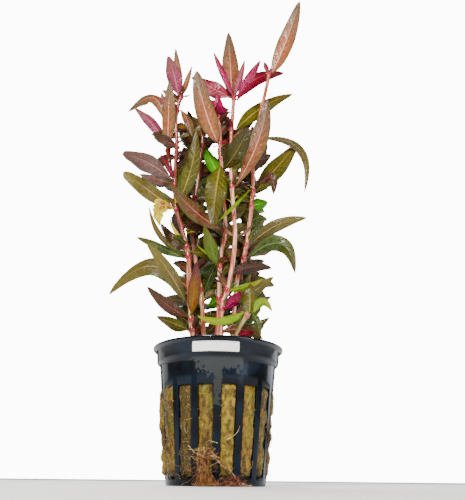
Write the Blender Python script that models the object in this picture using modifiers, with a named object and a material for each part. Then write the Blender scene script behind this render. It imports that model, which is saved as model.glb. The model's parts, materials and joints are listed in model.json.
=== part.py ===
"""A potted alternanthera in a slotted net pot, standing on its foot. Metres, +Z up.

The origin is at the centre of the pot's underside, and the side with the label faces -Y.
Sizes are written in millimetres and multiplied by MM where they are used.
"""

import itertools
import math
from collections import namedtuple

import bmesh
import bpy
from mathutils import Matrix, Vector
from mathutils.bvhtree import BVHTree

MM = 0.001
GAP = 0.3
UPWARDS = Vector((0, 0, 1))
BACKWARDS = Vector((0, 1, 0))

# Net pot, 5 cm across its lip
POT_HEIGHT = 48.5
LIP_RADIUS = 25.0
LIP_DROP = 0.9
LIP_EDGE = 0.3
COLLAR_TOP_Z = 47.0
COLLAR_TOP_RADIUS = 23.5
SHOULDER_Z = 42.6
COLLAR_RADIUS = 23.2
SHOULDER_STEP = 1.2
SHOULDER_SLOPE = 0.8
BODY_TOP_Z = SHOULDER_Z - SHOULDER_SLOPE
FOOT_RADIUS = 17.8
WALL = 1.0
EDGE = 0.5
FLOOR = 1.2
POT_STEPS = 48
SLOT_COUNT = 16
SLOT_ANGLE = math.radians(15.0)
SLOT_BOTTOM_Z = 2.6
SLOT_TOP_Z = 32.6
SLOT_CUT = 9.0
FLOOR_HOLES = 8
FLOOR_HOLE_SIDES = 8
FLOOR_HOLE_RADIUS = 2.0
FLOOR_HOLE_CIRCLE = 11.0

# Blank label on the collar
LABEL_BOTTOM_Z = 43.2
LABEL_TOP_Z = 46.8
LABEL_MIDDLE = math.radians(-92.2)
LABEL_HALF_ANGLE = math.radians(20.5)
LABEL_THICKNESS = 0.25
LABEL_STEPS = 8

# Rock wool that fills the pot and swells into its slots
WOOL_TOP_Z = 43.6
WOOL_CROWN = 0.4
WOOL_SWELL = 0.35
WOOL_ROUND = 2.4
WOOL_SIDE_GAP = 0.4
WOOL_PLAIN_STEP = 0.01

# Stems
STEM_RADIUS = 0.95
NODE_SWELL = 1.5
NODE_HALF_LENGTH = 1.6

# Leaves
BLADE_THICKNESS = 0.5
BLADE_STEPS = 7
LEAFLET_STEPS = 6
LEAF_START = STEM_RADIUS * NODE_SWELL + 2 * GAP
LEAFLET_START = 0.2
FACING = Vector((0, -1, -0.1))
STALK_WIDTH = 1.1
TIP_WIDTH = 0.5
LANCE_BASE = 0.8
LANCE_EDGE = 0.9
MOST_TIP_SHIFT = 8
MOST_MIDDLE_SHIFT = 4

COLOURS = {
    "pot_black": (0.012, 0.016, 0.022),
    "paper_white": (0.85, 0.85, 0.83),
    "wool_ochre": (0.34, 0.24, 0.06),
    "root_brown": (0.38, 0.17, 0.05),
    "stem_salmon": (0.60, 0.22, 0.16),
    "stem_umber": (0.32, 0.10, 0.07),
    "olive": (0.20, 0.21, 0.04),
    "moss": (0.12, 0.17, 0.04),
    "green": (0.10, 0.30, 0.03),
    "lime": (0.36, 0.50, 0.06),
    "yellow": (0.75, 0.60, 0.18),
    "bronze": (0.23, 0.16, 0.06),
    "umber": (0.13, 0.07, 0.05),
    "rosewood": (0.30, 0.13, 0.09),
    "mauve": (0.30, 0.20, 0.19),
    "plum": (0.22, 0.09, 0.10),
    "salmon": (0.48, 0.24, 0.14),
    "pink": (0.45, 0.15, 0.20),
    "maroon": (0.36, 0.06, 0.08),
    "magenta": (0.45, 0.03, 0.13),
}

Stem = namedtuple("Stem", "name colour route")
Leaf = namedtuple(
    "Leaf", "stem height heading rise length arch width turn colour tip_back middle_back",
    defaults=(0, 0))

# Each stem's route, from the wool upwards, as (x, y, z)
STEMS = (
    Stem("left", "stem_salmon", (
        (-9, -5, 44), (-11, -5, 62), (-12, -5, 71), (-13, -6, 86), (-17, -6, 101),
        (-19, -6, 108), (-20, -6, 121), (-20, -7, 138), (-21, -7, 153), (-19, -7, 165))),
    Stem("left_fork", "stem_salmon", (
        (-21.6, -3.7, 123.5), (-24, -3, 136), (-25, -4, 147), (-26, -4, 158))),
    Stem("mid_left", "stem_salmon", (
        (-5, 2, 44), (-7, 3, 69), (-9, 4, 81), (-11, 4, 92), (-13, 5, 108), (-11, 5, 122),
        (-10, 6, 138), (-9, 6, 152))),
    Stem("centre", "stem_salmon", (
        (-1, -1, 44), (0, -1, 69), (0, -1, 85), (2, -1, 99), (1, -2, 114), (0, -2, 128),
        (-1, -2, 142), (-2, -2, 160))),
    Stem("centre_right", "stem_salmon", (
        (1, -8, 44), (1, -7, 63), (3, -6, 71), (5, -6, 82), (6, -5, 96), (5, -4, 112),
        (4, -4, 128), (4, -3, 146), (5, -2, 168))),
    Stem("right", "stem_salmon", (
        (5, 2, 44), (7, 2, 77), (10, 2, 88), (12, 2, 101), (14, 2, 121), (14, 1, 139),
        (17, 1, 158), (21, 1, 178), (22, 1, 185))),
    Stem("shoot", "lime", (
        (5, -12, 44), (7, -12, 53), (11, -13, 60))),
    Stem("back_left", "stem_umber", (
        (-7, 8, 44), (-10, 9, 75), (-14, 10, 100), (-15, 11, 125), (-13, 12, 148))),
    Stem("back_middle", "stem_umber", (
        (0, 9, 44), (1, 11, 85), (-1, 12, 120), (1, 13, 152))),
    Stem("back_right", "stem_umber", (
        (8, 8, 44), (9, 10, 80), (12, 12, 110), (15, 13, 138))),
)

# Each leaf: its stem and height there, the way it points (degrees, 0 to the right of the label
# and -90 towards the viewer of the label), its rise above level (degrees), its length, how far its
# middle arches up, its width, how far its face is turned from the viewer (degrees) and its colour
LEAVES = (
    Leaf("left", 55, -145, 10, 16, 0, 4.5, 10, "olive"),
    Leaf("left", 60, -155, 28, 21, -1, 4.5, -10, "umber"),
    Leaf("left", 61, -80, 60, 21, -1, 4.5, 0, "plum"),
    Leaf("left", 66, -145, 44, 29, 1, 5, 10, "bronze"),
    Leaf("left", 68, 165, 6, 35, 13, 5, 15, "bronze"),
    Leaf("left", 86, -148, 42, 25, -4, 2.2, 0, "bronze"),
    Leaf("left", 85, 157, 27, 28, 0, 4, 20, "moss"),
    Leaf("left", 106, -135, -50, 13, 5, 5.5, 0, "yellow"),
    Leaf("left", 107, -168, 31, 27, 0, 6.5, 5, "rosewood"),
    Leaf("left", 120, -145, 7, 25, 2, 7.5, 0, "mauve"),
    Leaf("left", 109, -48, 69, 33, -3, 6, 0, "olive"),
    Leaf("left", 155, -32, -61, 19, 1, 3.5, 0, "rosewood"),
    Leaf("left", 163, -121, 52, 19, 1, 6.5, 0, "pink"),
    Leaf("left", 164, 119, 74, 38, 0, 4, 0, "salmon"),
    Leaf("left_fork", 137, -90, 75, 32, -1, 5.5, 0, "salmon"),
    Leaf("left_fork", 155, 155, 21, 23, 9, 5, 15, "salmon"),
    Leaf("left_fork", 143, 160, 49, 28, 1, 5, 10, "pink"),
    Leaf("centre", 85, 135, -56, 20, 1, 4, 0, "moss"),
    Leaf("centre", 83, -131, 55, 18, 0, 4, 0, "lime"),
    Leaf("centre", 99, -147, 27, 31, -2, 6.5, 10, "rosewood"),
    Leaf("centre", 129, -105, -71, 35, 2, 8.5, 0, "olive"),
    Leaf("centre", 128, -57, 29, 23, -2, 6, 10, "olive"),
    Leaf("centre", 126, 129, 58, 27, 0, 5.5, 5, "green"),
    Leaf("centre", 142, -135, 63, 35, -2, 8, 0, "salmon"),
    Leaf("centre_right", 168, 111, 80, 48, 0, 7.5, 0, "salmon"),
    Leaf("centre_right", 168, -34, 46, 21, 0, 4, 0, "magenta"),
    Leaf("centre_right", 167, 27, 43, 40, 5, 6, 10, "maroon"),
    Leaf("centre_right", 168, 172, 33, 25, 0, 7.5, 0, "maroon"),
    Leaf("centre_right", 149, 21, 43, 45, 3, 6.5, 10, "olive"),
    Leaf("centre_right", 119, -31, 66, 44, -3, 7.5, 0, "salmon"),
    Leaf("centre_right", 63, -45, 24, 12, 0, 4, 0, "magenta"),
    Leaf("shoot", 60, -162, -9, 20, -3, 3.5, 20, "lime"),
    Leaf("shoot", 60, 72, 76, 13, 0, 4.5, 0, "green"),
    Leaf("shoot", 60, -13, 0, 9, 4, 3, 20, "lime"),
    Leaf("shoot", 60, -56, -57, 13, 1, 2.5, 20, "moss"),
    Leaf("right", 185, -31, 65, 42, -1, 6.5, 0, "salmon"),
    Leaf("right", 148, 23, -43, 34, 15, 2.5, 20, "bronze"),
    Leaf("right", 121, 25, 52, 38, 0, 8, 5, "olive"),
    Leaf("right", 122, -41, -33, 13, 6, 4.5, 15, "umber"),
    Leaf("right", 120, -144, -48, 33, -1, 1.8, 0, "lime"),
    Leaf("right", 94, -22, 18, 28, 3, 5, 15, "bronze"),
    Leaf("right", 89, 30, 35, 24, 1, 7.5, 5, "mauve"),
    Leaf("right", 88, -24, -24, 24, 10, 5.5, 15, "moss"),
    Leaf("right", 69, 25, 37, 23, 0, 4.5, 10, "bronze"),
)

# Small leaves and the leaves at the back, which are grown together with their stem
FUSED_LEAVES = (
    Leaf("left", 121, -135, 43, 12, 0, 2, 0, "maroon"),
    Leaf("left", 164, 37, 76, 21, 0, 2.5, 0, "salmon"),
    Leaf("left", 89, 165, 46, 17, -1, 3.5, 0, "umber"),
    Leaf("left", 118, 158, 26, 20, 0, 5.5, 10, "mauve"),
    Leaf("left", 59, 135, 40, 11, 0, 3, 20, "green"),
    Leaf("left_fork", 154, -146, 75, 13, 0, 2.5, 0, "pink"),
    Leaf("mid_left", 117, 67, 68, 20, 0, 6.5, 0, "umber"),
    Leaf("mid_left", 74, 127, 55, 9, 0, 2.5, 0, "green"),
    Leaf("mid_left", 144, 135, 68, 30, 0, 4.5, 0, "umber"),
    Leaf("centre", 69, 130, -14, 8, 0, 4, 0, "green"),
    Leaf("centre", 155, -117, 80, 13, 0, 5, 0, "magenta"),
    Leaf("centre_right", 168, -163, 66, 26, 0, 3, 0, "magenta"),
    Leaf("centre_right", 168, 22, 77, 25, 0, 3, 0, "pink"),
    Leaf("centre_right", 71, -12, 16, 15, -1, 2.5, 30, "lime"),
    Leaf("right", 113, 37, 27, 11, 0, 5.5, 10, "green"),
    Leaf("right", 146, -27, -24, 5, 0, 2.5, 0, "magenta"),
    Leaf("back_left", 146, 24, 48, 15, 0, 5.5, 0, "umber"),
    Leaf("back_left", 122, 168, 35, 17, 0, 5.5, 20, "umber"),
    Leaf("back_left", 92, 133, 24, 22, 3, 5.5, 0, "bronze"),
    Leaf("back_left", 62, 140, 27, 17, 2, 5, 0, "moss"),
    Leaf("back_left", 147, 127, 50, 23, 1, 5, 0, "rosewood"),
    Leaf("back_middle", 122, 158, 58, 20, 0, 4.5, 0, "green"),
    Leaf("back_middle", 150, 11, 30, 12, 0, 4.5, 0, "umber"),
    Leaf("back_middle", 66, 73, 28, 19, 3, 6, 0, "moss"),
    Leaf("back_middle", 92, 107, 21, 22, 4, 6, 0, "moss"),
    Leaf("back_middle", 118, 73, 30, 24, 3, 6, 0, "olive"),
    Leaf("back_middle", 151, 106, 57, 26, 2, 5.5, 0, "salmon"),
    Leaf("back_right", 107, 38, 19, 12, 0, 5.5, 20, "umber"),
    Leaf("back_right", 76, 37, 19, 21, 3, 5.5, 0, "bronze"),
    Leaf("back_right", 112, 63, 31, 23, 3, 6, 0, "bronze"),
    Leaf("back_right", 137, 51, 60, 25, 1, 5.5, 0, "salmon"),
)

# Roots that have grown out through the slots and lie on the surface: route and radius of each point
ROOTS = {
    "root_tuft": (
        ((-3.9, -20.2, 10.5), 0.8), ((-4.0, -20.9, 9.0), 1.3), ((-4.2, -21.8, 5.5), 1.8),
        ((-4.0, -22.3, 2.6), 1.8), ((-3.4, -24.8, 1.5), 1.2), ((-2.6, -27.6, 0.9), 0.6)),
    "root_long": (
        ((-1.6, -20.3, 10.0), 0.45), ((1.2, -20.9, 7.6), 0.45), ((4.6, -20.9, 4.6), 0.45),
        ((7.6, -20.2, 1.6), 0.45), ((9.6, -20.6, 0.5), 0.45), ((11.8, -22.4, 0.4), 0.35)),
    "root_tangle": (
        ((0.6, -21.0, 0.9), 0.6), ((2.6, -23.2, 1.0), 0.9), ((5.4, -23.9, 1.0), 0.9),
        ((8.2, -23.4, 0.8), 0.7), ((10.2, -25.2, 0.5), 0.4)),
}


def clear_scene():
    for existing in list(bpy.data.objects):
        bpy.data.objects.remove(existing, do_unlink=True)


def new_collection(name):
    collection = bpy.data.collections.new(name)
    bpy.context.scene.collection.children.link(collection)
    return collection


def material(name):
    """The Principled material of this name, made when it is first asked for."""
    found = bpy.data.materials.get(name)
    if found:
        return found
    made = bpy.data.materials.new(name)
    made.use_nodes = True
    shader = made.node_tree.nodes["Principled BSDF"]
    shader.inputs["Base Color"].default_value = (*COLOURS[name], 1.0)
    shader.inputs["Roughness"].default_value = 0.9 if name == "wool_ochre" else 0.35
    shader.inputs["Metallic"].default_value = 0.0
    return made


def place(name, mesh, colour, collection):
    piece = bpy.data.objects.new(name, mesh)
    if colour:
        mesh.materials.append(material(colour))
    collection.objects.link(piece)
    return piece


def hide_helper(helper):
    helper.hide_render = True
    helper.display_type = "WIRE"


def mesh_from(shape, name):
    """The bmesh written to a new mesh, with its faces turned outwards."""
    bmesh.ops.recalc_face_normals(shape, faces=shape.faces)
    mesh = bpy.data.meshes.new(name)
    shape.to_mesh(mesh)
    shape.free()
    return mesh


def polar(radius, angle, z):
    """The point at this radius, angle and height, in metres."""
    return Vector((radius * math.cos(angle), radius * math.sin(angle), z)) * MM


def body_radius(z):
    """Outer radius of the pot's tapering body at the height z."""
    top = COLLAR_RADIUS - SHOULDER_STEP
    return FOOT_RADIUS + (top - FOOT_RADIUS) * z / BODY_TOP_Z


def make_pot(parts, cutters):
    """The turned pot with its lip and shoulder, its slots and its floor holes."""
    profile = (
        (0, FLOOR),
        (body_radius(FLOOR) - WALL, FLOOR),
        (body_radius(BODY_TOP_Z) - WALL, BODY_TOP_Z),
        (COLLAR_RADIUS - WALL, SHOULDER_Z + EDGE),
        (COLLAR_TOP_RADIUS - WALL, COLLAR_TOP_Z),
        (COLLAR_TOP_RADIUS - EDGE, POT_HEIGHT),
        (LIP_RADIUS - LIP_EDGE, POT_HEIGHT),
        (LIP_RADIUS, POT_HEIGHT - LIP_EDGE),
        (LIP_RADIUS, POT_HEIGHT - LIP_DROP),
        (COLLAR_TOP_RADIUS, COLLAR_TOP_Z),
        (COLLAR_RADIUS, SHOULDER_Z),
        (body_radius(BODY_TOP_Z), BODY_TOP_Z),
        (body_radius(EDGE), EDGE),
        (FOOT_RADIUS - EDGE, 0),
        (0, 0),
    )
    mesh = bpy.data.meshes.new("pot")
    points = [(radius * MM, 0, z * MM) for radius, z in profile]
    edges = [(i, i + 1) for i in range(len(profile) - 1)]
    mesh.from_pydata(points, edges, [])
    pot = place("pot", mesh, "pot_black", parts)
    turned = pot.modifiers.new("Turned", "SCREW")
    turned.axis = "Z"
    turned.steps = POT_STEPS
    turned.render_steps = POT_STEPS
    turned.use_merge_vertices = True
    turned.merge_threshold = 1e-5

    cutter = bmesh.new()
    for i in range(SLOT_COUNT):
        angle = 2 * math.pi * (i + 0.5) / SLOT_COUNT
        cube = bmesh.ops.create_cube(cutter, size=1)
        for vert in cube["verts"]:
            z = SLOT_BOTTOM_Z + (SLOT_TOP_Z - SLOT_BOTTOM_Z) * (vert.co.z + 0.5)
            vert.co = polar(
                body_radius(z) + SLOT_CUT * vert.co.x, angle + SLOT_ANGLE * vert.co.y, z)
    for i in range(FLOOR_HOLES):
        centre = polar(FLOOR_HOLE_CIRCLE, 2 * math.pi * i / FLOOR_HOLES, 0)
        bmesh.ops.create_cone(
            cutter, cap_ends=True, segments=FLOOR_HOLE_SIDES, radius1=FLOOR_HOLE_RADIUS * MM,
            radius2=FLOOR_HOLE_RADIUS * MM, depth=4 * FLOOR * MM,
            matrix=Matrix.Translation(centre))
    holes = place("slot_cutters", mesh_from(cutter, "slot_cutters"), None, cutters)
    hide_helper(holes)
    cut = pot.modifiers.new("Slots", "BOOLEAN")
    cut.operation = "DIFFERENCE"
    cut.object = holes
    cut.solver = "EXACT"


def make_label(parts):
    """A strip of paper wrapped round the front of the collar."""
    shape = bmesh.new()
    bmesh.ops.create_grid(shape, x_segments=LABEL_STEPS, y_segments=1, size=1)
    lean = (COLLAR_TOP_RADIUS - COLLAR_RADIUS) / (COLLAR_TOP_Z - SHOULDER_Z)
    for vert in shape.verts:
        share = (vert.co.y + 1) / 2
        z = LABEL_BOTTOM_Z + (LABEL_TOP_Z - LABEL_BOTTOM_Z) * share
        radius = COLLAR_RADIUS + lean * (z - SHOULDER_Z) + GAP + LABEL_THICKNESS / 2
        vert.co = polar(radius, LABEL_MIDDLE + LABEL_HALF_ANGLE * vert.co.x, z)
    label = place("label", mesh_from(shape, "label"), "paper_white", parts)
    paper = label.modifiers.new("Paper", "SOLIDIFY")
    paper.thickness = LABEL_THICKNESS * MM
    paper.offset = 0


def wool_ring(shape, z, swell):
    """One ring of the plug: inside the ribs, and out by swell where a slot is open."""
    inner = body_radius(z) - WALL - GAP
    half_width = SLOT_ANGLE / 2 - WOOL_SIDE_GAP / FOOT_RADIUS
    ring = []
    for i in range(SLOT_COUNT):
        middle = 2 * math.pi * (i + 0.5) / SLOT_COUNT
        for share, out in ((-1, 0), (-1, 1), (1, 1), (1, 0)):
            spread = half_width if out or swell else half_width + WOOL_PLAIN_STEP
            ring.append(shape.verts.new(polar(inner + swell * out, middle + share * spread, z)))
    return ring


def make_wool(parts):
    """The rock wool plug: a loft of rings that swell through the slots."""
    shape = bmesh.new()
    through = WALL + GAP
    levels = (
        (FLOOR + GAP, 0),
        (SLOT_BOTTOM_Z + GAP, 0),
        (SLOT_BOTTOM_Z + WOOL_ROUND, through),
        ((SLOT_BOTTOM_Z + SLOT_TOP_Z) / 2, through + WOOL_SWELL),
        (SLOT_TOP_Z - WOOL_ROUND, through),
        (SLOT_TOP_Z - GAP, 0),
        (WOOL_TOP_Z - WOOL_CROWN, 0),
    )
    rings = [wool_ring(shape, z, swell) for z, swell in levels]
    count = len(rings[0])
    for lower, upper in zip(rings, rings[1:]):
        for i in range(count):
            j = (i + 1) % count
            shape.faces.new((lower[i], lower[j], upper[j], upper[i]))
    bottom = shape.faces.new(rings[0])
    crown = shape.verts.new(Vector((0, 0, WOOL_TOP_Z)) * MM)
    for i in range(count):
        shape.faces.new((rings[-1][i], rings[-1][(i + 1) % count], crown))
    bmesh.ops.triangulate(shape, faces=[bottom])
    place("rockwool", mesh_from(shape, "rockwool"), "wool_ochre", parts)


def tube(name, points):
    """A closed mesh tube through (point, radius) pairs, made from a bevelled poly curve."""
    curve = bpy.data.curves.new(name, "CURVE")
    curve.dimensions = "3D"
    curve.bevel_depth = MM
    curve.bevel_resolution = 1
    curve.use_fill_caps = True
    spline = curve.splines.new("POLY")
    spline.points.add(len(points) - 1)
    for target, (point, radius) in zip(spline.points, points):
        target.co = (*(Vector(point) * MM), 1)
        target.radius = radius
    holder = bpy.data.objects.new(name + "_curve", curve)
    bpy.context.scene.collection.objects.link(holder)
    evaluated = holder.evaluated_get(evaluated_scene())
    mesh = bpy.data.meshes.new_from_object(evaluated)
    bpy.data.objects.remove(holder, do_unlink=True)
    shape = bmesh.new()
    shape.from_mesh(mesh)
    bpy.data.meshes.remove(mesh)
    bmesh.ops.remove_doubles(shape, verts=shape.verts, dist=1e-6)
    return mesh_from(shape, name)


def evaluated_scene():
    """The dependency graph, brought up to date."""
    bpy.context.view_layer.update()
    return bpy.context.evaluated_depsgraph_get()


def along(route, z):
    """The point of a rising route at the height z."""
    for lower, upper in zip(route, route[1:]):
        if z <= upper[2]:
            break
    share = (z - lower[2]) / (upper[2] - lower[2])
    return Vector(lower).lerp(Vector(upper), min(max(share, 0), 1))


def stem_points(stem):
    """Rings along the stem, thicker at each height that carries leaves."""
    heights = sorted({leaf.height for leaf in LEAVES + FUSED_LEAVES if leaf.stem == stem.name})
    bottom, top = stem.route[0][2], stem.route[-1][2]
    knots = []
    for height in heights:
        if not knots or height - knots[-1] > 2 * NODE_HALF_LENGTH:
            knots.append(height)
    rings = {bottom: 1.0, top: 1.0}
    for point in stem.route[1:-1]:
        if all(abs(point[2] - knot) > 2 * NODE_HALF_LENGTH for knot in knots):
            rings[point[2]] = 1.0
    for knot in knots:
        for step, scale in ((-NODE_HALF_LENGTH, 1.0), (0, NODE_SWELL), (NODE_HALF_LENGTH, 1.0)):
            z = knot + step
            if bottom + 1 < z < top - 1:
                rings[z] = scale
    return [(along(stem.route, z), STEM_RADIUS * rings[z]) for z in sorted(rings)]


def blade_width(leaf, share):
    """Width of the leaf at this share of its length: a narrow stalk, then a lance shape."""
    lance = math.sin(math.pi * share ** LANCE_BASE) ** LANCE_EDGE
    stalk = STALK_WIDTH if share < 0.5 else TIP_WIDTH
    return max(leaf.width * lance, stalk)


def leaf_path(leaf, start_gap):
    """Start, control point and tip of the leaf's midrib, as a quadratic curve."""
    route = next(stem.route for stem in STEMS if stem.name == leaf.stem)
    centre = along(route, leaf.height)
    heading, rise = math.radians(leaf.heading), math.radians(leaf.rise)
    outwards = Vector((math.cos(heading), math.sin(heading), 0))
    tip = centre + leaf.length * (math.cos(rise) * outwards + math.sin(rise) * UPWARDS)
    tip += leaf.tip_back * BACKWARDS
    arch = leaf.arch * (math.cos(rise) * UPWARDS - math.sin(rise) * outwards)
    start = centre + start_gap * outwards
    middle = (start + tip) / 2 + 2 * (arch + leaf.middle_back * BACKWARDS)
    return start, middle, tip


def blade_frame(leaf, start_gap, share):
    """A point of the midrib, with the directions across the leaf and out of its face."""
    start, middle, tip = leaf_path(leaf, start_gap)
    lower, upper = start.lerp(middle, share), middle.lerp(tip, share)
    heading = (upper - lower).normalized()
    normal = (FACING - heading * FACING.dot(heading)).normalized()
    normal.rotate(Matrix.Rotation(math.radians(leaf.turn), 3, heading))
    return lower.lerp(upper, share), heading.cross(normal), normal


def blade_mesh(name, leaf, start_gap, steps):
    """The leaf as a bent grid, one face wide."""
    shape = bmesh.new()
    bmesh.ops.create_grid(shape, x_segments=1, y_segments=steps, size=1)
    for vert in shape.verts:
        share = (vert.co.y + 1) / 2
        point, across, _ = blade_frame(leaf, start_gap, share)
        vert.co = (point + across * vert.co.x * blade_width(leaf, share) / 2) * MM
    return mesh_from(shape, name)


def thicken(blade):
    """Gives the blade its thickness, half to each side of its grid."""
    solid = blade.modifiers.new("Thickness", "SOLIDIFY")
    solid.thickness = BLADE_THICKNESS * MM
    solid.offset = 0


def envelope(leaf):
    """A search tree of the leaf's outside, one gap larger than the leaf all round."""
    points, faces = [], []
    for step in range(BLADE_STEPS + 1):
        share = step / BLADE_STEPS
        point, across, normal = blade_frame(leaf, LEAF_START, share)
        across = across * (blade_width(leaf, share) / 2 + GAP)
        normal = normal * (BLADE_THICKNESS / 2 + GAP)
        for side, face in ((-1, -1), (1, -1), (1, 1), (-1, 1)):
            points.append((point + side * across + face * normal) * MM)
    for ring in range(0, 4 * BLADE_STEPS, 4):
        for i in range(4):
            j = (i + 1) % 4
            faces.append((ring + i, ring + j, ring + 4 + j, ring + 4 + i))
    last = 4 * BLADE_STEPS
    faces.append((0, 1, 2, 3))
    faces.append((last, last + 1, last + 2, last + 3))
    return BVHTree.FromPolygons(points, faces)


def clear_leaf(leaf, others):
    """The leaf, with its tip and its middle moved back or forward by the least that keeps it clear."""
    shifts = itertools.product(range(-MOST_TIP_SHIFT, MOST_TIP_SHIFT + 1),
                               range(-MOST_MIDDLE_SHIFT, MOST_MIDDLE_SHIFT + 1))
    for tip, middle in sorted(shifts, key=lambda shift: abs(shift[0]) + abs(shift[1])):
        moved = leaf._replace(tip_back=tip, middle_back=middle)
        outside = envelope(moved)
        if not any(outside.overlap(other) for other in others):
            return moved
    return leaf


def make_leaves(parts):
    """The large leaves, each in a place that is clear of all that stands before it."""
    scene = evaluated_scene()
    others = [BVHTree.FromObject(piece, scene) for piece in parts.objects]
    numbers = {}
    for leaf in LEAVES:
        numbers[leaf.stem] = numbers.get(leaf.stem, 0) + 1
        name = f"leaf_{leaf.stem}_{numbers[leaf.stem]}"
        mesh = blade_mesh(name, clear_leaf(leaf, others), LEAF_START, BLADE_STEPS)
        blade = place(name, mesh, leaf.colour, parts)
        thicken(blade)
        others.append(BVHTree.FromObject(blade, evaluated_scene()))


def make_stems(parts, cutters):
    """Each stem, joined with the small leaves that belong to it."""
    for stem in STEMS:
        name = f"stem_{stem.name}"
        piece = place(name, tube(name, stem_points(stem)), stem.colour, parts)
        fused = [leaf for leaf in FUSED_LEAVES if leaf.stem == stem.name]
        for number, leaf in enumerate(fused, 1):
            leaf_name = f"{name}_leaflet_{number}"
            mesh = blade_mesh(leaf_name, leaf, LEAFLET_START, LEAFLET_STEPS)
            blade = place(leaf_name, mesh, None, cutters)
            thicken(blade)
            hide_helper(blade)
            join = piece.modifiers.new(f"Leaflet {number}", "BOOLEAN")
            join.operation = "UNION"
            join.object = blade
            join.solver = "EXACT"


def make_roots(parts):
    for name, points in ROOTS.items():
        place(name, tube(name, points), "root_brown", parts)


def main():
    clear_scene()
    parts = new_collection("potted_alternanthera")
    cutters = new_collection("cutters")
    make_pot(parts, cutters)
    make_label(parts)
    make_wool(parts)
    make_roots(parts)
    make_stems(parts, cutters)
    make_leaves(parts)


main()
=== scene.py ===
# %% [markdown]
# # A potted alternanthera, from its frame to its finish
#
# A bunch of red and olive water plant stems stands in wet rock wool, inside a slotted black
# net pot. The solids of every piece come from the frame: here each one gets its real surface.
# Leaves are bent blades with a raised midrib, stems are smooth tubes with red swollen nodes, the
# wool is a lumpy fibrous plug, and fine roots hang out through the slots and lie on the floor.
# All sizes are real ones. They are written in millimetres and turned to metres with MM.

# %% Load the frame
import json
import math
import random

import bmesh
import bpy
import numpy as np
from mathutils import Matrix, Vector, noise
from mathutils.bvhtree import BVHTree


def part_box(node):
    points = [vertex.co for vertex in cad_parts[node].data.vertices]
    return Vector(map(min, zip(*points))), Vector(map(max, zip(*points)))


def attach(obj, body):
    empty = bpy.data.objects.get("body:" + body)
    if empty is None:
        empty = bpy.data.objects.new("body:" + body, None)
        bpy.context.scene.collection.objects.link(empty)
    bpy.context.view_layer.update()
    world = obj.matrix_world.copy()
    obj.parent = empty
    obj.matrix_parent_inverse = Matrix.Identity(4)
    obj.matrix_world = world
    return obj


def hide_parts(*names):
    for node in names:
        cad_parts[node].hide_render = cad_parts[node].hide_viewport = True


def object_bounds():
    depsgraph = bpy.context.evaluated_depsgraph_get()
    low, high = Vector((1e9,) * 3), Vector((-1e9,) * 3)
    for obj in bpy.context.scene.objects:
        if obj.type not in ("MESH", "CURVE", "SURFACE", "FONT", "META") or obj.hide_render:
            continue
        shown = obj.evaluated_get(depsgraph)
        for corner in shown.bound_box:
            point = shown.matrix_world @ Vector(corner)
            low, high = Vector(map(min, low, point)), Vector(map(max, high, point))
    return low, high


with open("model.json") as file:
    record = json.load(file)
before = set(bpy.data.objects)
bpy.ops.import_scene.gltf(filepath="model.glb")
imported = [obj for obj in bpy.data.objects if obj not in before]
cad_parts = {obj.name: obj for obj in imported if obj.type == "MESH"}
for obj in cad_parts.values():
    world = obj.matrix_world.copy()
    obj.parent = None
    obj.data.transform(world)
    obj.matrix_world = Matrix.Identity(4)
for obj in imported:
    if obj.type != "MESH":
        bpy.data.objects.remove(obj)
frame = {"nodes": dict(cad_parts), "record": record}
cad_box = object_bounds()
nodes = frame["nodes"]
MM = 0.001
# noise_vector() would take its offsets from the clock
noise.seed_set(1)
print(len(nodes), "solids in the frame")

# %% [markdown]
# ## The camera
#
# The photograph was taken from close by and from low down, a little above the surface that the
# pot stands on, looking up into the leaves. A camera 212 mm from the pot's axis, pitched up by
# 23 degrees, gives the same lines: the lip shows its underside and the leaves spread upwards.

# %% Camera
CAMERA_PLACE = Vector((0, -212, 2)) * MM
CAMERA_PITCH = math.radians(22.75)
CAMERA_YAW = math.radians(1.39)
CAMERA_ROLL = math.radians(0.6)
LENS = 39.53
SENSOR_WIDTH = 36


def placed(name, data):
    """A new object of the scene, which holds this data."""
    made = bpy.data.objects.new(name, data)
    bpy.context.scene.collection.objects.link(made)
    return made


camera = placed("camera", bpy.data.cameras.new("camera"))
camera.data.lens = LENS
camera.data.sensor_width = SENSOR_WIDTH
camera.data.clip_start = 5 * MM
camera.matrix_world = (
    Matrix.Translation(CAMERA_PLACE)
    @ Matrix.Rotation(-CAMERA_YAW, 4, "Z")
    @ Matrix.Rotation(math.pi / 2 + CAMERA_PITCH, 4, "X")
    @ Matrix.Rotation(CAMERA_ROLL, 4, "Z")
)
bpy.context.scene.camera = camera

# %% [markdown]
# ## Small helpers
#
# A node tree is easier to read when each node is one call, so add() makes a node with its
# settings and joins its inputs. Colours are picked as the hex values that a screen shows, and
# linear() turns them to the values that a shader works with. Noise is measured in millimetres
# on the object's own coordinates, so a pattern keeps its real size. Most finishes are patches of
# colour laid over each other, and a shader over small bumps, so there is a function for each.

# %% Helpers for materials
SMOOTH = {"interpolation_type": "SMOOTHSTEP"}
COLOUR = {"data_type": "RGBA"}


def linear(hex_code):
    """The linear colour, with alpha, of an sRGB hex value."""
    channels = [int(hex_code[i:i + 2], 16) / 255 for i in (1, 3, 5)]
    return (*[c / 12.92 if c <= 0.04045 else ((c + 0.055) / 1.055) ** 2.4 for c in channels], 1.0)


def add(tree, kind, inputs=(), **settings):
    """Adds a node. Its inputs, in order or by name, are values, hex colours, sockets or nodes."""
    node = tree.nodes.new(kind)
    for name, value in settings.items():
        setattr(node, name, value)
    for socket, value in inputs.items() if isinstance(inputs, dict) else enumerate(inputs):
        if isinstance(value, bpy.types.Node):
            value = next(output for output in value.outputs if output.enabled)
        if isinstance(value, bpy.types.NodeSocket):
            tree.links.new(value, node.inputs[socket])
        else:
            node.inputs[socket].default_value = linear(value) if isinstance(value, str) else value
    return node


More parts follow.
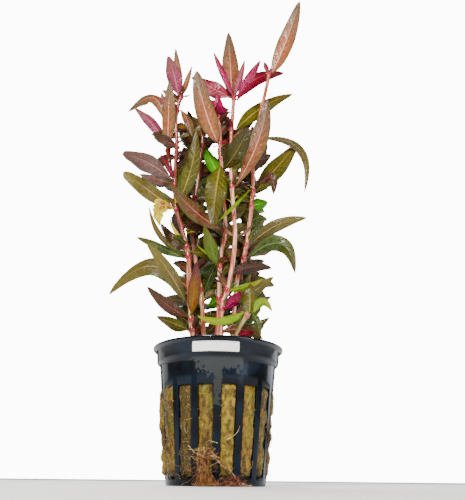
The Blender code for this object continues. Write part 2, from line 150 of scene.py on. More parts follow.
def new_material(name):
    """An empty node material, and its tree."""
    made = bpy.data.materials.new(name)
    made.use_nodes = True
    made.node_tree.nodes.clear()
    return made, made.node_tree


def grain(tree, size_mm, detail=3.0, stretch=(1, 1, 1)):
    """A pattern of lumps of about this size, fixed to the object."""
    place = add(tree, "ShaderNodeTexCoord").outputs["Object"]
    scaled = add(tree, "ShaderNodeMapping", {"Vector": place, "Scale": stretch})
    return add(tree, "ShaderNodeTexNoise", {"Vector": scaled, "Scale": 1 / (size_mm * MM), "Detail": detail})


def patches(tree, size_mm, detail, low, high, least=0.0, most=1.0, stretch=(1, 1, 1)):
    """The grain as soft patches: least where it is below low, and most where it is above high."""
    lumps = grain(tree, size_mm, detail, stretch)
    return add(tree, "ShaderNodeMapRange", [lumps, low, high, least, most], **SMOOTH)


def layered(tree, colour, *layers):
    """The colour with others laid over it, each given as its cover, from 0 to 1, and its colour."""
    for cover, layer in layers:
        colour = add(tree, "ShaderNodeMix", {0: cover, 6: colour, 7: layer}, **COLOUR)
    return colour


def object_xyz(tree):
    """The object's own x, y and z."""
    return add(tree, "ShaderNodeSeparateXYZ", [add(tree, "ShaderNodeTexCoord").outputs["Object"]]).outputs


def surface(made, inputs, bumps=None, depth_mm=0.0, strength=1.0):
    """The material, finished: a shader with these inputs, over bumps of this depth if there are any."""
    tree = made.node_tree
    if bumps:
        inputs["Normal"] = add(tree, "ShaderNodeBump", {
            "Height": bumps, "Distance": depth_mm * MM, "Strength": strength})
    add(tree, "ShaderNodeOutputMaterial", [add(tree, "ShaderNodeBsdfPrincipled", inputs)])
    return made


# %% [markdown]
# ## Leaf finish
#
# The living leaf is a thin blade under a film of water. Its colour runs from the stalk to the
# tip and from the midrib to the edge, the midrib is pale and broad at the stalk, and side veins
# leave it at a sharp angle. One function makes all of this from six colours, so each kind of
# leaf is one line of a table. It reads the blade's UV map: u runs from stalk to tip, and v from
# edge to edge. The water gives small sharp highlights, so its roughness is low in patches.

# %% Leaf colours
# Kind of leaf: face, mottle, edge, tip, rib and back colours
LEAF_COLOURS = {
    "olive": ("#4E4C10", "#645A1C", "#3E4610", "#4A421C", "#B8A460", "#64482A"),
    "moss": ("#40582A", "#32401A", "#505C20", "#524E22", "#8E9654", "#4A5026"),
    "green": ("#3A7814", "#4A8820", "#2E6010", "#46761C", "#9AC85A", "#3E6E1E"),
    "lime": ("#7CA018", "#90B026", "#6A8E18", "#9A9A30", "#C0D06C", "#728E2A"),
    "yellow": ("#D4AE64", "#94501E", "#DECC2E", "#E2D43C", "#F0E4A0", "#D8C068"),
    "bronze": ("#504622", "#60502E", "#485220", "#66602E", "#B09C64", "#584C28"),
    "umber": ("#42241A", "#543226", "#302C18", "#3E321C", "#8C564A", "#3C301C"),
    "rosewood": ("#6A342C", "#785036", "#4C5220", "#564A28", "#D8A07C", "#564A24"),
    "mauve": ("#684A44", "#7C5E56", "#584E40", "#664E46", "#B29086", "#4E4832"),
    "plum": ("#7E5C12", "#7A4A1C", "#54301E", "#502438", "#A8782C", "#483A22"),
    "salmon": ("#8C503A", "#9A6448", "#62542C", "#5A5240", "#ECC49C", "#5E5230"),
    "pink": ("#864058", "#9C4862", "#662C38", "#80544A", "#E8989E", "#603434"),
    "maroon": ("#7A182E", "#902638", "#48161E", "#542222", "#D06C74", "#502222"),
    "magenta": ("#941044", "#A81E58", "#6A1230", "#802038", "#E06086", "#701E34"),
}
SIDE_VEINS = 10
VEIN_SWEEP = 1.5


# %% Leaf veins
def vein_lines(tree, along, across):
    """1 on a side vein and 0 between them: lines that sweep from the midrib towards the tip."""
    curve = add(tree, "ShaderNodeMath", [across, 0.8], operation="POWER")
    phase = add(tree, "ShaderNodeMath", [along, SIDE_VEINS], operation="MULTIPLY")
    phase = add(tree, "ShaderNodeMath", [curve, -VEIN_SWEEP, phase], operation="MULTIPLY_ADD")
    line = add(tree, "ShaderNodeMath", [phase, 0.5], operation="PINGPONG")
    line = add(tree, "ShaderNodeMapRange", [line, 0.0, 0.12, 1.0, 0.0], **SMOOTH)
    fade = add(tree, "ShaderNodeMapRange", [across, 0.5, 1.0, 1.0, 0.0], **SMOOTH)
    return add(tree, "ShaderNodeMath", [line, fade], operation="MULTIPLY")


# %% Leaf finish
def leaf_colour(tree, kind, along, across, vein):
    """The leaf's colour: mottled face, then edge, tip, back, side veins and midrib."""
    face, mottle, edge, tip, rib, back = LEAF_COLOURS[kind]
    mottled = patches(tree, 1.7, 7.0, 0.42, 0.62)
    near_edge = add(tree, "ShaderNodeMapRange", [across, 0.4, 0.95, 0.0, 0.85], **SMOOTH)
    near_tip = add(tree, "ShaderNodeMapRange", [along, 0.3, 1.0, 0.0, 0.9], **SMOOTH)
    under = add(tree, "ShaderNodeAttribute", attribute_name="back").outputs["Fac"]
    faint = add(tree, "ShaderNodeMath", [vein, 0.1], operation="MULTIPLY")
    narrowing = add(tree, "ShaderNodeMath", [along, 0.1, across], operation="MULTIPLY_ADD")
    midrib = add(tree, "ShaderNodeMapRange", [narrowing, 0.04, 0.14, 0.75, 0.0], **SMOOTH)
    below = layered(tree, back, (mottled, edge))
    return layered(tree, face, (mottled, mottle), (near_edge, edge), (near_tip, tip), (under, below),
                   (faint, rib), (midrib, rib))


def leaf_finish(kind):
    """A living leaf under water drops: soft inside, with sharp highlights where it is wettest."""
    made, tree = new_material(f"wet_leaf_{kind}")
    uv = add(tree, "ShaderNodeSeparateXYZ", [add(tree, "ShaderNodeUVMap", uv_map="blade")])
    across = add(tree, "ShaderNodeMath", [uv.outputs[1], 2.0, -1.0], operation="MULTIPLY_ADD")
    across = add(tree, "ShaderNodeMath", [across], operation="ABSOLUTE")
    vein = vein_lines(tree, uv.outputs[0], across)
    tone = add(tree, "ShaderNodeAttribute", attribute_name="tone").outputs["Fac"]
    value = add(tree, "ShaderNodeMath", [tone, 0.24, 0.95], operation="MULTIPLY_ADD")
    colour = leaf_colour(tree, kind, uv.outputs[0], across, vein)
    colour = add(tree, "ShaderNodeHueSaturation", {"Value": value, "Color": colour, "Saturation": 1.1})
    wet = patches(tree, 3.0, 2.0, 0.4, 0.54, 0.13, 0.42)
    quilt = add(tree, "ShaderNodeMath", [vein, -0.6, grain(tree, 1.1, 3.0)], operation="MULTIPLY_ADD")
    return surface(made, {"Base Color": colour, "Roughness": wet, "IOR": 1.33, "Subsurface Weight": 0.12,
                          "Subsurface Scale": 0.8 * MM}, quilt, 0.22)


leaf_finishes = {kind: leaf_finish(kind) for kind in LEAF_COLOURS}
print(len(leaf_finishes), "kinds of leaf")

# %% [markdown]
# ## Stem finish
#
# The stems are fleshy and let some light through: cream to salmon, with fine lengthwise streaks,
# and crimson round the nodes where the leaves grow. Higher up they turn brown. Streaks are noise
# that is stretched along the stem, and the reddening follows a value on the mesh's own points.

# %% Stem finish
# Kind of stem: flesh, streak, upper part and node colours, and the heights where the upper part begins
STEM_COLOURS = {
    "cream": ("#C05844", "#FFD0A8", "#B0523A", "#A01C30", 110, 165),
    "rust": ("#B85A3C", "#FFD4A2", "#74262A", "#8E1E28", 76, 98),
    "umber": ("#9C5040", "#C4805E", "#6C3A2A", "#86242A", 80, 140),
    "lime": ("#B4C45C", "#D2DA8C", "#A0B040", "#B86A50", 80, 140),
}


def stem_finish(kind):
    """Fleshy stem under a film of water."""
    flesh, streak, upper, node, low, high = STEM_COLOURS[kind]
    made, tree = new_material(f"moist_stem_{kind}")
    height = object_xyz(tree)[2]
    knot = add(tree, "ShaderNodeAttribute", attribute_name="knot").outputs["Fac"]
    streaks = patches(tree, 0.9, 3.0, 0.44, 0.6, stretch=(1, 1, 0.07))
    flush = patches(tree, 16.0, 2.0, 0.48, 0.64, 0.0, 0.5)
    rising = add(tree, "ShaderNodeMapRange", [height, low * MM, high * MM, 0.0, 0.85], **SMOOTH)
    near_node = add(tree, "ShaderNodeMapRange", [knot, 0.03, 0.7, 0.0, 0.9], **SMOOTH)
    colour = layered(tree, flesh, (streaks, streak), (flush, node), (rising, upper), (near_node, node))
    wet = patches(tree, 3.0, 3.0, 0.4, 0.65, 0.1, 0.26)
    return surface(made, {"Base Color": colour, "Roughness": wet, "IOR": 1.5, "Subsurface Weight": 0.2,
                          "Subsurface Scale": 0.6 * MM}, grain(tree, 0.5, 3.0, (1, 1, 0.1)), 0.08, 0.6)


stem_finishes = {kind: stem_finish(kind) for kind in STEM_COLOURS}

# %% [markdown]
# ## Roots and loose fibres
#
# A root is a moist thread, clear brown to red, and young ones are pale. Mineral fibre is a dull
# golden thread. All are too thin for a pattern across them, so only their colour drifts.

# %% Root finishes
def thread_finish(name, dark, light):
    """A moist thread whose colour drifts along it."""
    made, tree = new_material(name)
    colour = layered(tree, dark, (patches(tree, 1.2, 3.0, 0.38, 0.62), light))
    return surface(made, {"Base Color": colour, "Roughness": 0.34, "IOR": 1.38, "Subsurface Weight": 0.1,
                          "Subsurface Scale": 0.4 * MM})


root_amber = thread_finish("wet_root_amber", "#523012", "#9A6C34")
root_red = thread_finish("wet_root_red", "#40140E", "#7C3222")
root_pale = thread_finish("wet_root_pale", "#A0864E", "#DCCB96")
wool_fibre = thread_finish("wet_mineral_fibre", "#7A5A14", "#C0A040")

# %% [markdown]
# ## Rock wool finish
#
# Rock wool is spun stone fibre. Soaked and overgrown it is ochre to olive, with brown stains. Its
# pits and its foot are painted darker as shade, and pale specks are painted glints of water. Its fibres
# are far finer than a pixel, so the mat is drawn as noise of about a millimetre, longer up and down.
# The slots differ: the tone on the mesh's points, from -1 to 1, makes a slot darker and browner, or
# paler and more yellow.

# %% Rock wool finish
def wool_finish():
    """Soaked mineral wool: a matt fibre mat with stains, painted shade in its pits and at its foot, and
    painted glints.
    """
    made, tree = new_material("soaked_rock_wool")
    tone = add(tree, "ShaderNodeAttribute", attribute_name="tone").outputs["Fac"]
    bright = add(tree, "ShaderNodeMapRange", [tone, 0.0, 1.0])
    dim = add(tree, "ShaderNodeMapRange", [tone, 0.0, -1.0])
    mat = patches(tree, 1.0, 6.0, 0.36, 0.66, stretch=(1, 1, 0.5))
    moss = patches(tree, 6.0, 3.0, 0.46, 0.62, 0.0, 0.7)
    stain = patches(tree, 2.4, 5.0, 0.48, 0.6, 0.0, 0.85, (1, 1, 0.3))
    # Painted shade: the darkest spots stand for the shade in the mat's pits
    painted_pit_shade = patches(tree, 0.8, 4.0, 0.41, 0.31, 0.0, 0.7)
    # Painted glints: pale specks stand for light caught in the water
    painted_glints = patches(tree, 0.45, 2.0, 0.7, 0.74, 0.0, 0.8)
    darker = add(tree, "ShaderNodeMath", [dim, 0.75], operation="MULTIPLY")
    yellower = add(tree, "ShaderNodeMath", [bright, 0.75], operation="MULTIPLY")
    golden = layered(tree, "#54460A", (patches(tree, 1.6, 6.0, 0.38, 0.64, stretch=(1, 1, 0.8)), "#A68824"))
    z = object_xyz(tree)[2]
    # Painted shade: the plug darkens towards its foot, with a ragged edge
    low = add(tree, "ShaderNodeMath", [grain(tree, 3.0, 3.0), -9 * MM, z], operation="MULTIPLY_ADD")
    painted_foot_shade = add(tree, "ShaderNodeMapRange", [low, -1.5 * MM, 1.8 * MM, 0.85, 0.0], **SMOOTH)
    colour = layered(tree, "#4E3806", (mat, "#96741A"), (moss, "#6E6A0C"), (stain, "#38240A"),
                     (yellower, golden), (darker, "#2C240C"), (painted_pit_shade, "#241A08"), (painted_foot_shade, "#181408"),
                     (painted_glints, "#FFF6CC"))
    wet = patches(tree, 1.1, 2.0, 0.4, 0.6, 0.3, 0.75)
    return surface(made, {"Base Color": colour, "Roughness": wet, "IOR": 1.36},
                   grain(tree, 0.6, 5.0, (1, 1, 0.5)), 0.3)


rock_wool = wool_finish()

# %% [markdown]
# ## Pot plastic finish
#
# The pot is injection moulded polypropylene, black with a blue cast, and glossy under a film of
# water. Where it has dried, below the label, it is dull and grey, with ragged black splashes
# along the patch's lower edge. The grey that runs down the top of the rib there is a painted
# reflection of the wet plastic. The ribs mirror less than the collar does, because the wet wool has soiled
# them.

# %% Pot plastic finish
# The dry patch fades in and out between these two x to its left, and these two to its right
DRY_LEFT = np.array((-11.5, -8.0))
DRY_RIGHT = np.array((8.2, 9.4))
# Half the width of the rib's painted reflection, and the height that it runs down to
REFLECTION_RIB = 1.5
REFLECTION_RIB_LOW = 26


def dry_patch_and_rib_reflection(tree):
    """1 where the plastic has dried, below the label down to a ragged edge, and where a painted reflection
    runs down the rib in the middle.
    """
    x, y, z = object_xyz(tree)
    left = add(tree, "ShaderNodeMapRange", [x, *(DRY_LEFT * MM)], **SMOOTH)
    right = add(tree, "ShaderNodeMapRange", [x, *(DRY_RIGHT * MM), 1.0, 0.0], **SMOOTH)
    front = add(tree, "ShaderNodeMapRange", [y, -18 * MM, -16 * MM, 1.0, 0.0])
    below_collar = add(tree, "ShaderNodeMapRange", [z, 41.2 * MM, 42.2 * MM, 1.0, 0.0], **SMOOTH)
    sloping = add(tree, "ShaderNodeMath", [x, -0.7, 33.4 * MM], operation="MULTIPLY_ADD")
    past_rib = add(tree, "ShaderNodeMapRange", [x, 0.9 * MM, 2.2 * MM], **SMOOTH)
    edge = add(tree, "ShaderNodeMix", {0: past_rib, 2: sloping, 3: 37.4 * MM}, data_type="FLOAT")
    above = add(tree, "ShaderNodeMath", [z, edge], operation="SUBTRACT")
    ragged = add(tree, "ShaderNodeMath", [grain(tree, 1.4, 6.0), 0.5], operation="SUBTRACT")
    above = add(tree, "ShaderNodeMath", [ragged, 15 * MM, above], operation="MULTIPLY_ADD")
    patch = add(tree, "ShaderNodeMapRange", [above, -0.1 * MM, 0.4 * MM], **SMOOTH)
    beside = add(tree, "ShaderNodeMath", [x], operation="ABSOLUTE")
    # Painted reflection: the top of the middle rib is greyed like the dry patch
    rib = add(tree, "ShaderNodeMapRange", [beside, (REFLECTION_RIB - 0.3) * MM, REFLECTION_RIB * MM, 1.0, 0.0])
    uneven = add(tree, "ShaderNodeMath", [ragged, 24 * MM, z], operation="MULTIPLY_ADD")
    rib_low = add(tree, "ShaderNodeMapRange", [uneven, REFLECTION_RIB_LOW * MM, (REFLECTION_RIB_LOW + 0.8) * MM], **SMOOTH)
    rib_high = add(tree, "ShaderNodeMapRange", [z, 33.5 * MM, 35 * MM, 1.0, 0.0], **SMOOTH)
    rib = add(tree, "ShaderNodeMath", [rib, rib_low], operation="MULTIPLY")
    rib = add(tree, "ShaderNodeMath", [rib, rib_high], operation="MULTIPLY")
    dry_and_reflection = add(tree, "ShaderNodeMath", [patch, rib], operation="MAXIMUM")
    for limit in (left, right, front, below_collar):
        dry_and_reflection = add(tree, "ShaderNodeMath", [dry_and_reflection, limit], operation="MULTIPLY")
    return dry_and_reflection


def pot_finish():
    """Black moulded polypropylene with a film of water: bluish and glossy, dull where it is dry, and with a
    painted reflection on one rib.
    """
    made, tree = new_material("wet_black_polypropylene")
    dry_and_reflection = dry_patch_and_rib_reflection(tree)
    cast = patches(tree, 9.0, 3.0, 0.42, 0.62)
    # The grey veil is dry plastic on the patch, and a painted reflection on the rib
    dry_and_reflection_veil = add(tree, "ShaderNodeMath", [dry_and_reflection, 0.85], operation="MULTIPLY")
    colour = layered(tree, "#0A0C0F", (cast, "#0D1721"), (dry_and_reflection_veil, "#343633"))
    film = patches(tree, 6.0, 3.0, 0.4, 0.65, 0.1, 0.24)
    rough = add(tree, "ShaderNodeMath", [dry_and_reflection, 0.35, film], operation="MULTIPLY_ADD")
    mirror = add(tree, "ShaderNodeMapRange", [object_xyz(tree)[2], 30 * MM, 40 * MM, 0.3, 0.6], **SMOOTH)
    return surface(made, {"Base Color": colour, "Roughness": rough, "IOR": 1.34,
                          "Specular IOR Level": mirror, "Specular Tint": "#D0DCF0"},
                   grain(tree, 3.5, 2.0), 0.05, 0.5)


pot_plastic = pot_finish()

# %% [markdown]
# ## Paper and floor finishes
#
# The label is bare uncoated paper, a little damp and cockled, with a faint painted glow. The floor
# is a matt white board, which gives off a little light of its own, because everything round the
# object is lit white in the photograph.

# %% Paper and floor finishes
def paper_finish():
    """Bare white label paper, slightly damp, with a faint painted glow."""
    made, tree = new_material("damp_white_paper_painted_glow")
    colour = layered(tree, "#FFFFFF", (patches(tree, 3.0, 3.0, 0.4, 0.66), "#F2EFEA"))
    # The emission is a painted glow: the paper is no lamp
    return surface(made, {"Base Color": colour, "Roughness": 0.6, "Emission Color": "#FFFFFF",
                          "Emission Strength": 0.11}, grain(tree, 0.6, 4.0), 0.05, 0.7)


def board_finish():
    """Matt white board, lit from within a little."""
    made, tree = new_material("pale_matt_board")
    colour = layered(tree, "#F3F2F1", (patches(tree, 20.0, 3.0, 0.4, 0.6), "#EFEEEC"))
    return surface(made, {"Base Color": colour, "Roughness": 0.7, "Emission Color": "#FFFFFF",
                          "Emission Strength": 0.35})


label_paper = paper_finish()
floor_board = board_finish()

# %% [markdown]
# ## Making meshes and handing them over
#
# All pieces are plain meshes in the frame's own coordinates. hand_over() is the same for each:
# the piece rides on the one body, gets its finishes and stands for its solid, which it hides.

# %% Mesh helpers
slots = {row["node"]: row["material_slot"] for row in frame["record"]["subparts"]}


def baked(shape, name):
    """The bmesh as a new mesh."""
    mesh = bpy.data.meshes.new(name)
    shape.to_mesh(mesh)
    shape.free()
    return mesh


def joined_mesh(name, chunks):
    """One mesh from (points, faces, material index, layers) chunks. Points are in millimetres."""
    points, faces, kinds, uvs, layers = [], [], [], [], {}
    for chunk in chunks:
        first = len(points)
        points.extend((np.asarray(chunk["points"]) * MM).tolist())
        faces.extend(tuple(first + i for i in face) for face in chunk["faces"])
        kinds.extend([chunk.get("kind", 0)] * len(chunk["faces"]))
        uvs.extend(chunk.get("uv", [(0.0, 0.0)] * len(chunk["points"])))
        for layer, counted in (("tone", "points"), ("knot", "points"), ("back", "faces")):
            layers.setdefault(layer, []).extend(chunk.get(layer, np.zeros(len(chunk[counted]))))
    mesh = bpy.data.meshes.new(name)
    mesh.from_pydata(points, [], faces)
    mesh.polygons.foreach_set("material_index", kinds)
    mesh.polygons.foreach_set("use_smooth", [True] * len(faces))
    corners = np.array([uvs[loop.vertex_index] for loop in mesh.loops], np.float32)
    mesh.uv_layers.new(name="blade").data.foreach_set("uv", corners.ravel())
    for layer, domain in (("tone", "POINT"), ("knot", "POINT"), ("back", "FACE")):
        made = mesh.attributes.new(layer, "FLOAT", domain)
        made.data.foreach_set("value", np.array(layers[layer], np.float32))
    shape = bmesh.new()
    shape.from_mesh(mesh)
    bmesh.ops.recalc_face_normals(shape, faces=shape.faces)
    shape.to_mesh(mesh)
    shape.free()
    return mesh


def hand_over(name, mesh, finishes, replaced):
    """Makes the piece, gives it its finishes, and lets it stand for a solid of the frame."""
    piece = placed(name, mesh)
    for index, finish in enumerate(finishes):
        if index < len(mesh.materials):
            mesh.materials[index] = finish
        else:
            mesh.materials.append(finish)
    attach(piece, "root")
    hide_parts(replaced)
    return piece


def ring_faces(rings, around):
    """The faces between rings of this many points, listed ring by ring."""
    sides = [(k, (k + 1) % around) for k in range(around)]
    return [(i + a, i + b, i + b + around, i + a + around)
            for i in range(0, (rings - 1) * around, around) for a, b in sides]


def polar(reach, angle, z):
    """The point at this distance and angle from the pot's axis, at the height z."""
    return (reach * math.cos(angle), reach * math.sin(angle), z)


def tube_chunk(path, radii, sides=8, **more):
    """A closed tube along the path, as a chunk. It ends in a point at each end."""
    path = np.asarray(path, float)
    radii = np.asarray(radii, float)
    heading = np.gradient(path, axis=0)
    heading /= np.linalg.norm(heading, axis=1)[:, None]
    right = np.cross(heading[0], (0.31, 0.83, 0.47))
    points = []
    for centre, ahead, radius in zip(path, heading, radii):
        right = right - ahead * right.dot(ahead)
        right /= np.linalg.norm(right)
        up = np.cross(ahead, right)
        for k in range(sides):
            turn = 2 * math.pi * k / sides
            points.append(centre + radius * (math.cos(turn) * right + math.sin(turn) * up))
    rings = len(path)
    faces = ring_faces(rings, sides)
    points.extend([path[0] - heading[0] * radii[0] * 0.5, path[-1] + heading[-1] * radii[-1] * 0.5])
    start, end = rings * sides, rings * sides + 1
    for k in range(sides):
        j = (k + 1) % sides
        faces.append((j, k, start))
        faces.append(((rings - 1) * sides + k, (rings - 1) * sides + j, end))
    return {"points": points, "faces": faces, **more}


def smooth_route(route, spacing):
    """Points along a rounded line through the route's own points, this far apart."""
    route = np.asarray(route, float)
    ends = np.vstack([2 * route[0] - route[1], route, 2 * route[-1] - route[-2]])
    found = [route[0]]
    for a, b, c, d in zip(ends, ends[1:], ends[2:], ends[3:]):
        steps = max(2, round(float(np.linalg.norm(c - b)) / spacing))
        for t in np.linspace(0, 1, steps + 1)[1:]:
            found.append(0.5 * (2 * b + (c - a) * t + (2 * a - 5 * b + 4 * c - d) * t ** 2
                                + (3 * b - a - 3 * c + d) * t ** 3))
    return np.array(found)


# %% [markdown]
# ## One leaf blade
#
# A real blade is lance shaped, thickest along its midrib and thin at the edge. It folds a little
# along the midrib, its edges wave, and the veins quilt its surface. Its tip is a little blunt,
# and blunter on a torn leaf. blade_chunk() lays a fine grid along the leaf's own curve, with a
# front and a back sheet that meet at the edge. The curve is given as a start, a control point and
# a tip, with the direction across at a few stations.

# %% Leaf blade: its curve and outline
# The least and the most of two exponents: how near the stalk the blade is widest, and how pointed it is
LANCE_BASE = (0.7, 0.92)
LANCE_EDGE = (0.84, 1.2)
# The part of the full lance that the blade is, so less than 1 makes its end blunt
TIP_CUT = 0.94
# The part of the length over which the tip is rounded
TIP_ROUND = 0.06
STALK_WIDTH = 1.1
SPREAD = 1.1
# From this width on, a leaf has all of its thickness, midrib and quilt
FULL_WIDTH = 5
# Where the points lie across the blade, from edge to edge, closest beside the midrib and the edges
COLUMNS = np.array([-1, -0.93, -0.8, -0.62, -0.42, -0.24, -0.11, 0, 0.11, 0.24, 0.42, 0.62, 0.8, 0.93, 1])


def unit(rows):
    """The same directions, each of them 1 long."""
    return rows / np.linalg.norm(rows, axis=-1, keepdims=True)


def spine(leaf, share, twist):
    """Middle points, directions across and directions out of the face, along the leaf's curve."""
    s = share[:, None]
    centre = leaf["start"] * (1 - s) ** 2 + 2 * leaf["control"] * s * (1 - s) + leaf["tip"] * s ** 2
    heading = unit(np.gradient(centre, axis=0))
    stations = np.linspace(0, 1, len(leaf["across"]))
    across = np.column_stack([np.interp(share, stations, leaf["across"][:, k]) for k in range(3)])
    across = unit(across - heading * (across * heading).sum(1)[:, None])
    front = np.cross(across, heading)
    turn = math.radians(twist) * s ** 2
    return centre, across * np.cos(turn) + front * np.sin(turn), front * np.cos(turn) - across * np.sin(turn)


def outline(leaf, share, luck):
    """Full width along the leaf: a narrow stalk, a lance shaped blade and a rounded tip."""
    lance = np.sin(math.pi * (leaf.get("cut", TIP_CUT) * share) ** luck.uniform(*LANCE_BASE))
    width = np.maximum(SPREAD * leaf["width"] * lance ** luck.uniform(*LANCE_EDGE),
                       STALK_WIDTH * np.exp(-8 * share))
    return width * np.sqrt(((1 - share) / TIP_ROUND).clip(0.02, 1))


# %% Leaf blade: its relief
def face_lift(s, v, half, leaf, luck):
    """How far the blade's face stands out: a fold at the midrib, waves at the edges and a quilt."""
    fold = luck.uniform(0.06, 0.26)
    lift = -fold * np.abs(v) ** 1.3 * half * np.sin(math.pi * np.minimum(s * 1.6, 0.5))
    wave_height = 0.105 * leaf["width"] * luck.uniform(0.5, 1.1)
    for sign in (-1, 1):
        ripple = np.sin(2 * math.pi * luck.uniform(1.2, 2.4) * s + luck.uniform(0, 6.28))
        lift = lift + (sign * v > 0) * ripple * wave_height * np.sin(math.pi * s) * np.abs(v) ** 2.2
    quilt = np.cos(2 * math.pi * (SIDE_VEINS * s - VEIN_SWEEP * np.abs(v) ** 0.8))
    size = min(1.0, leaf["width"] / FULL_WIDTH)
    lift = lift - 0.035 * size * quilt * (1 - np.abs(v)) * np.sin(math.pi * np.sqrt(s))
    crumple = leaf.get("crumple", 0)
    if crumple:
        seeded = luck.uniform(0, 50)
        dents = [[noise.noise(Vector((5 * a, 1.5 * b, seeded))) for b in v.ravel()] for a in s.ravel()]
        lift = lift + crumple * np.array(dents) * np.sqrt(s)
    return lift


def blade_faces(rows, wide):
    """Faces of a front and a back sheet that share no points, joined round their rim."""
    sheet = rows * wide
    faces, back = [], []
    for a in (i * wide + j for i in range(rows - 1) for j in range(wide - 1)):
        faces.append((a, a + 1, a + wide + 1, a + wide))
        faces.append((sheet + a, sheet + a + wide, sheet + a + wide + 1, sheet + a + 1))
        back.extend((0, 1))
    rim = list(range(wide)) + [i * wide + wide - 1 for i in range(1, rows)]
    rim += [(rows - 1) * wide + j for j in range(wide - 2, -1, -1)]
    rim += [i * wide for i in range(rows - 2, 0, -1)]
    for a, b in zip(rim, rim[1:] + rim[:1]):
        faces.append((b, a, sheet + a, sheet + b))
        back.append(0)
    return faces, back


# %% Leaf blade: the whole
def blade_chunk(leaf, seed, rows=46, columns=COLUMNS):
    """The leaf as a chunk. leaf holds start, control, tip, across (a vector a station), width and root."""
    luck = random.Random(seed)
    share = np.linspace(0, 1, rows)
    centre, across, front = spine(leaf, share, luck.uniform(-20, 20))
    width = outline(leaf, share, luck)
    if leaf.get("crumple", 0) > 1:
        width = width * [1 + 0.5 * noise.noise(Vector((9 * s, seed, 0))) for s in share]
    thick = 0.13 + 0.3 * np.exp(-9 * share)
    if leaf["root"] is not None:
        stub = leaf["root"] + (leaf["start"] - leaf["root"]) * np.array([[0.0], [0.55]])
        centre = np.vstack([stub, centre])
        across, front = (np.vstack([v[:1], v[:1], v]) for v in (across, front))
        width = np.concatenate([[1.2, 1.15], width])
        thick = np.concatenate([[0.7, 0.6], thick])
        share = np.concatenate([[0.0, 0.0], share])
    s, v, half = share[:, None], columns[None, :], width[:, None] / 2
    size = min(1.0, leaf["width"] / FULL_WIDTH)
    lift = face_lift(s, v, half, leaf, luck)
    body = 0.035 + thick[:, None] / 2 * np.sqrt(np.maximum(0, 1 - v ** 2)) * size ** 0.5
    rib = 0.24 * size * np.exp(-(v / 0.13) ** 2) * np.exp(-1.4 * s)
    flat = centre[:, None] + across[:, None] * (half * v)[..., None]
    sheets = [flat + front[:, None] * (lift + side)[..., None] for side in (body + rib, -body + 0.3 * rib)]
    points = np.concatenate([sheet.reshape(-1, 3) for sheet in sheets])
    faces, back = blade_faces(len(share), len(columns))
    return {"points": points, "faces": faces, "back": back,
            "uv": [(float(x), float((y + 1) / 2)) for x in share for y in columns] * 2,
            "tone": np.full(len(points), leaf.get("tone", luck.uniform(-0.7, 0.5)))}


# %% [markdown]
# ## Reading the large leaves off the frame
#
# Each large leaf is a solid of its own: a chain of rings of four points from the stalk to the
# tip, which is a small square. Walking from the tip, ring by ring, gives the midrib and the
# direction across the blade, and so the fine blade can follow its solid exactly.

# %% Read a leaf solid
# The side of the square at the tip
TIP_SIDE = 0.5


def leaf_from_solid(name):
    """The curve, the directions across and the width of the leaf, in millimetres."""
    shape = bmesh.new()
    shape.from_mesh(nodes[name].data)
    bmesh.ops.remove_doubles(shape, verts=shape.verts, dist=1e-6)
    shape.verts.index_update()
    tip_face = (2 + math.sqrt(2)) * TIP_SIDE * MM
    around = sorted(shape.faces, key=lambda face: abs(face.calc_perimeter() - tip_face))
    ring = {vert for face in around[:2] for vert in face.verts}
    seen, rings = set(ring), []
    while ring:
        rings.append(np.array([vert.co / MM for vert in sorted(ring, key=lambda vert: vert.index)]))
        ahead = {edge.other_vert(vert) for vert in ring for edge in vert.link_edges}
        ring = ahead - seen
        seen |= ring
    shape.free()
    rings.reverse()
    centres = np.array([points.mean(0) for points in rings])
    across, width = [], 0
    for points in rings[:-1]:
        away = points[1:] - points[0]
        reach = np.linalg.norm(away, axis=1)
        side = away[np.argsort(reach)[1]]
        if across and side.dot(across[-1]) < 0:
            side = -side
        across.append(side / np.linalg.norm(side))
        width = max(width, float(np.sort(reach)[1]))
    across.append(across[-1])
    across = np.array(across)
    share = np.linspace(0, 1, len(centres))
    bend = [np.polyfit(share, centres[:, k], 2) for k in range(3)]
    start, tip = (np.array([np.polyval(b, end) for b in bend]) for end in (0, 1))
    middle = np.array([np.polyval(b, 0.5) for b in bend])
    control = 2 * middle - (start + tip) / 2
    heading = tip - start
    if np.cross(across[3], heading)[1] > 0:
        across = -across
    return {"start": start, "control": control, "tip": tip, "across": across, "width": width,
            "rings": len(rings)}


leaf_names = sorted(name for name in nodes if name.startswith("leaf_"))
leaves = {name: leaf_from_solid(name) for name in leaf_names}
print(len(leaves), "leaves, rings in each:", sorted({leaf["rings"] for leaf in leaves.values()}))

# %% [markdown]
# ## Stems and the small leaves grown on them
#
# The stems' routes and the small leaves' directions are the same values as in the solids. A
# leaf is given by its height on the stem, the way it points, its rise, its length, the arch of
# its middle, its width and the turn of its face, as a gardener would describe it.

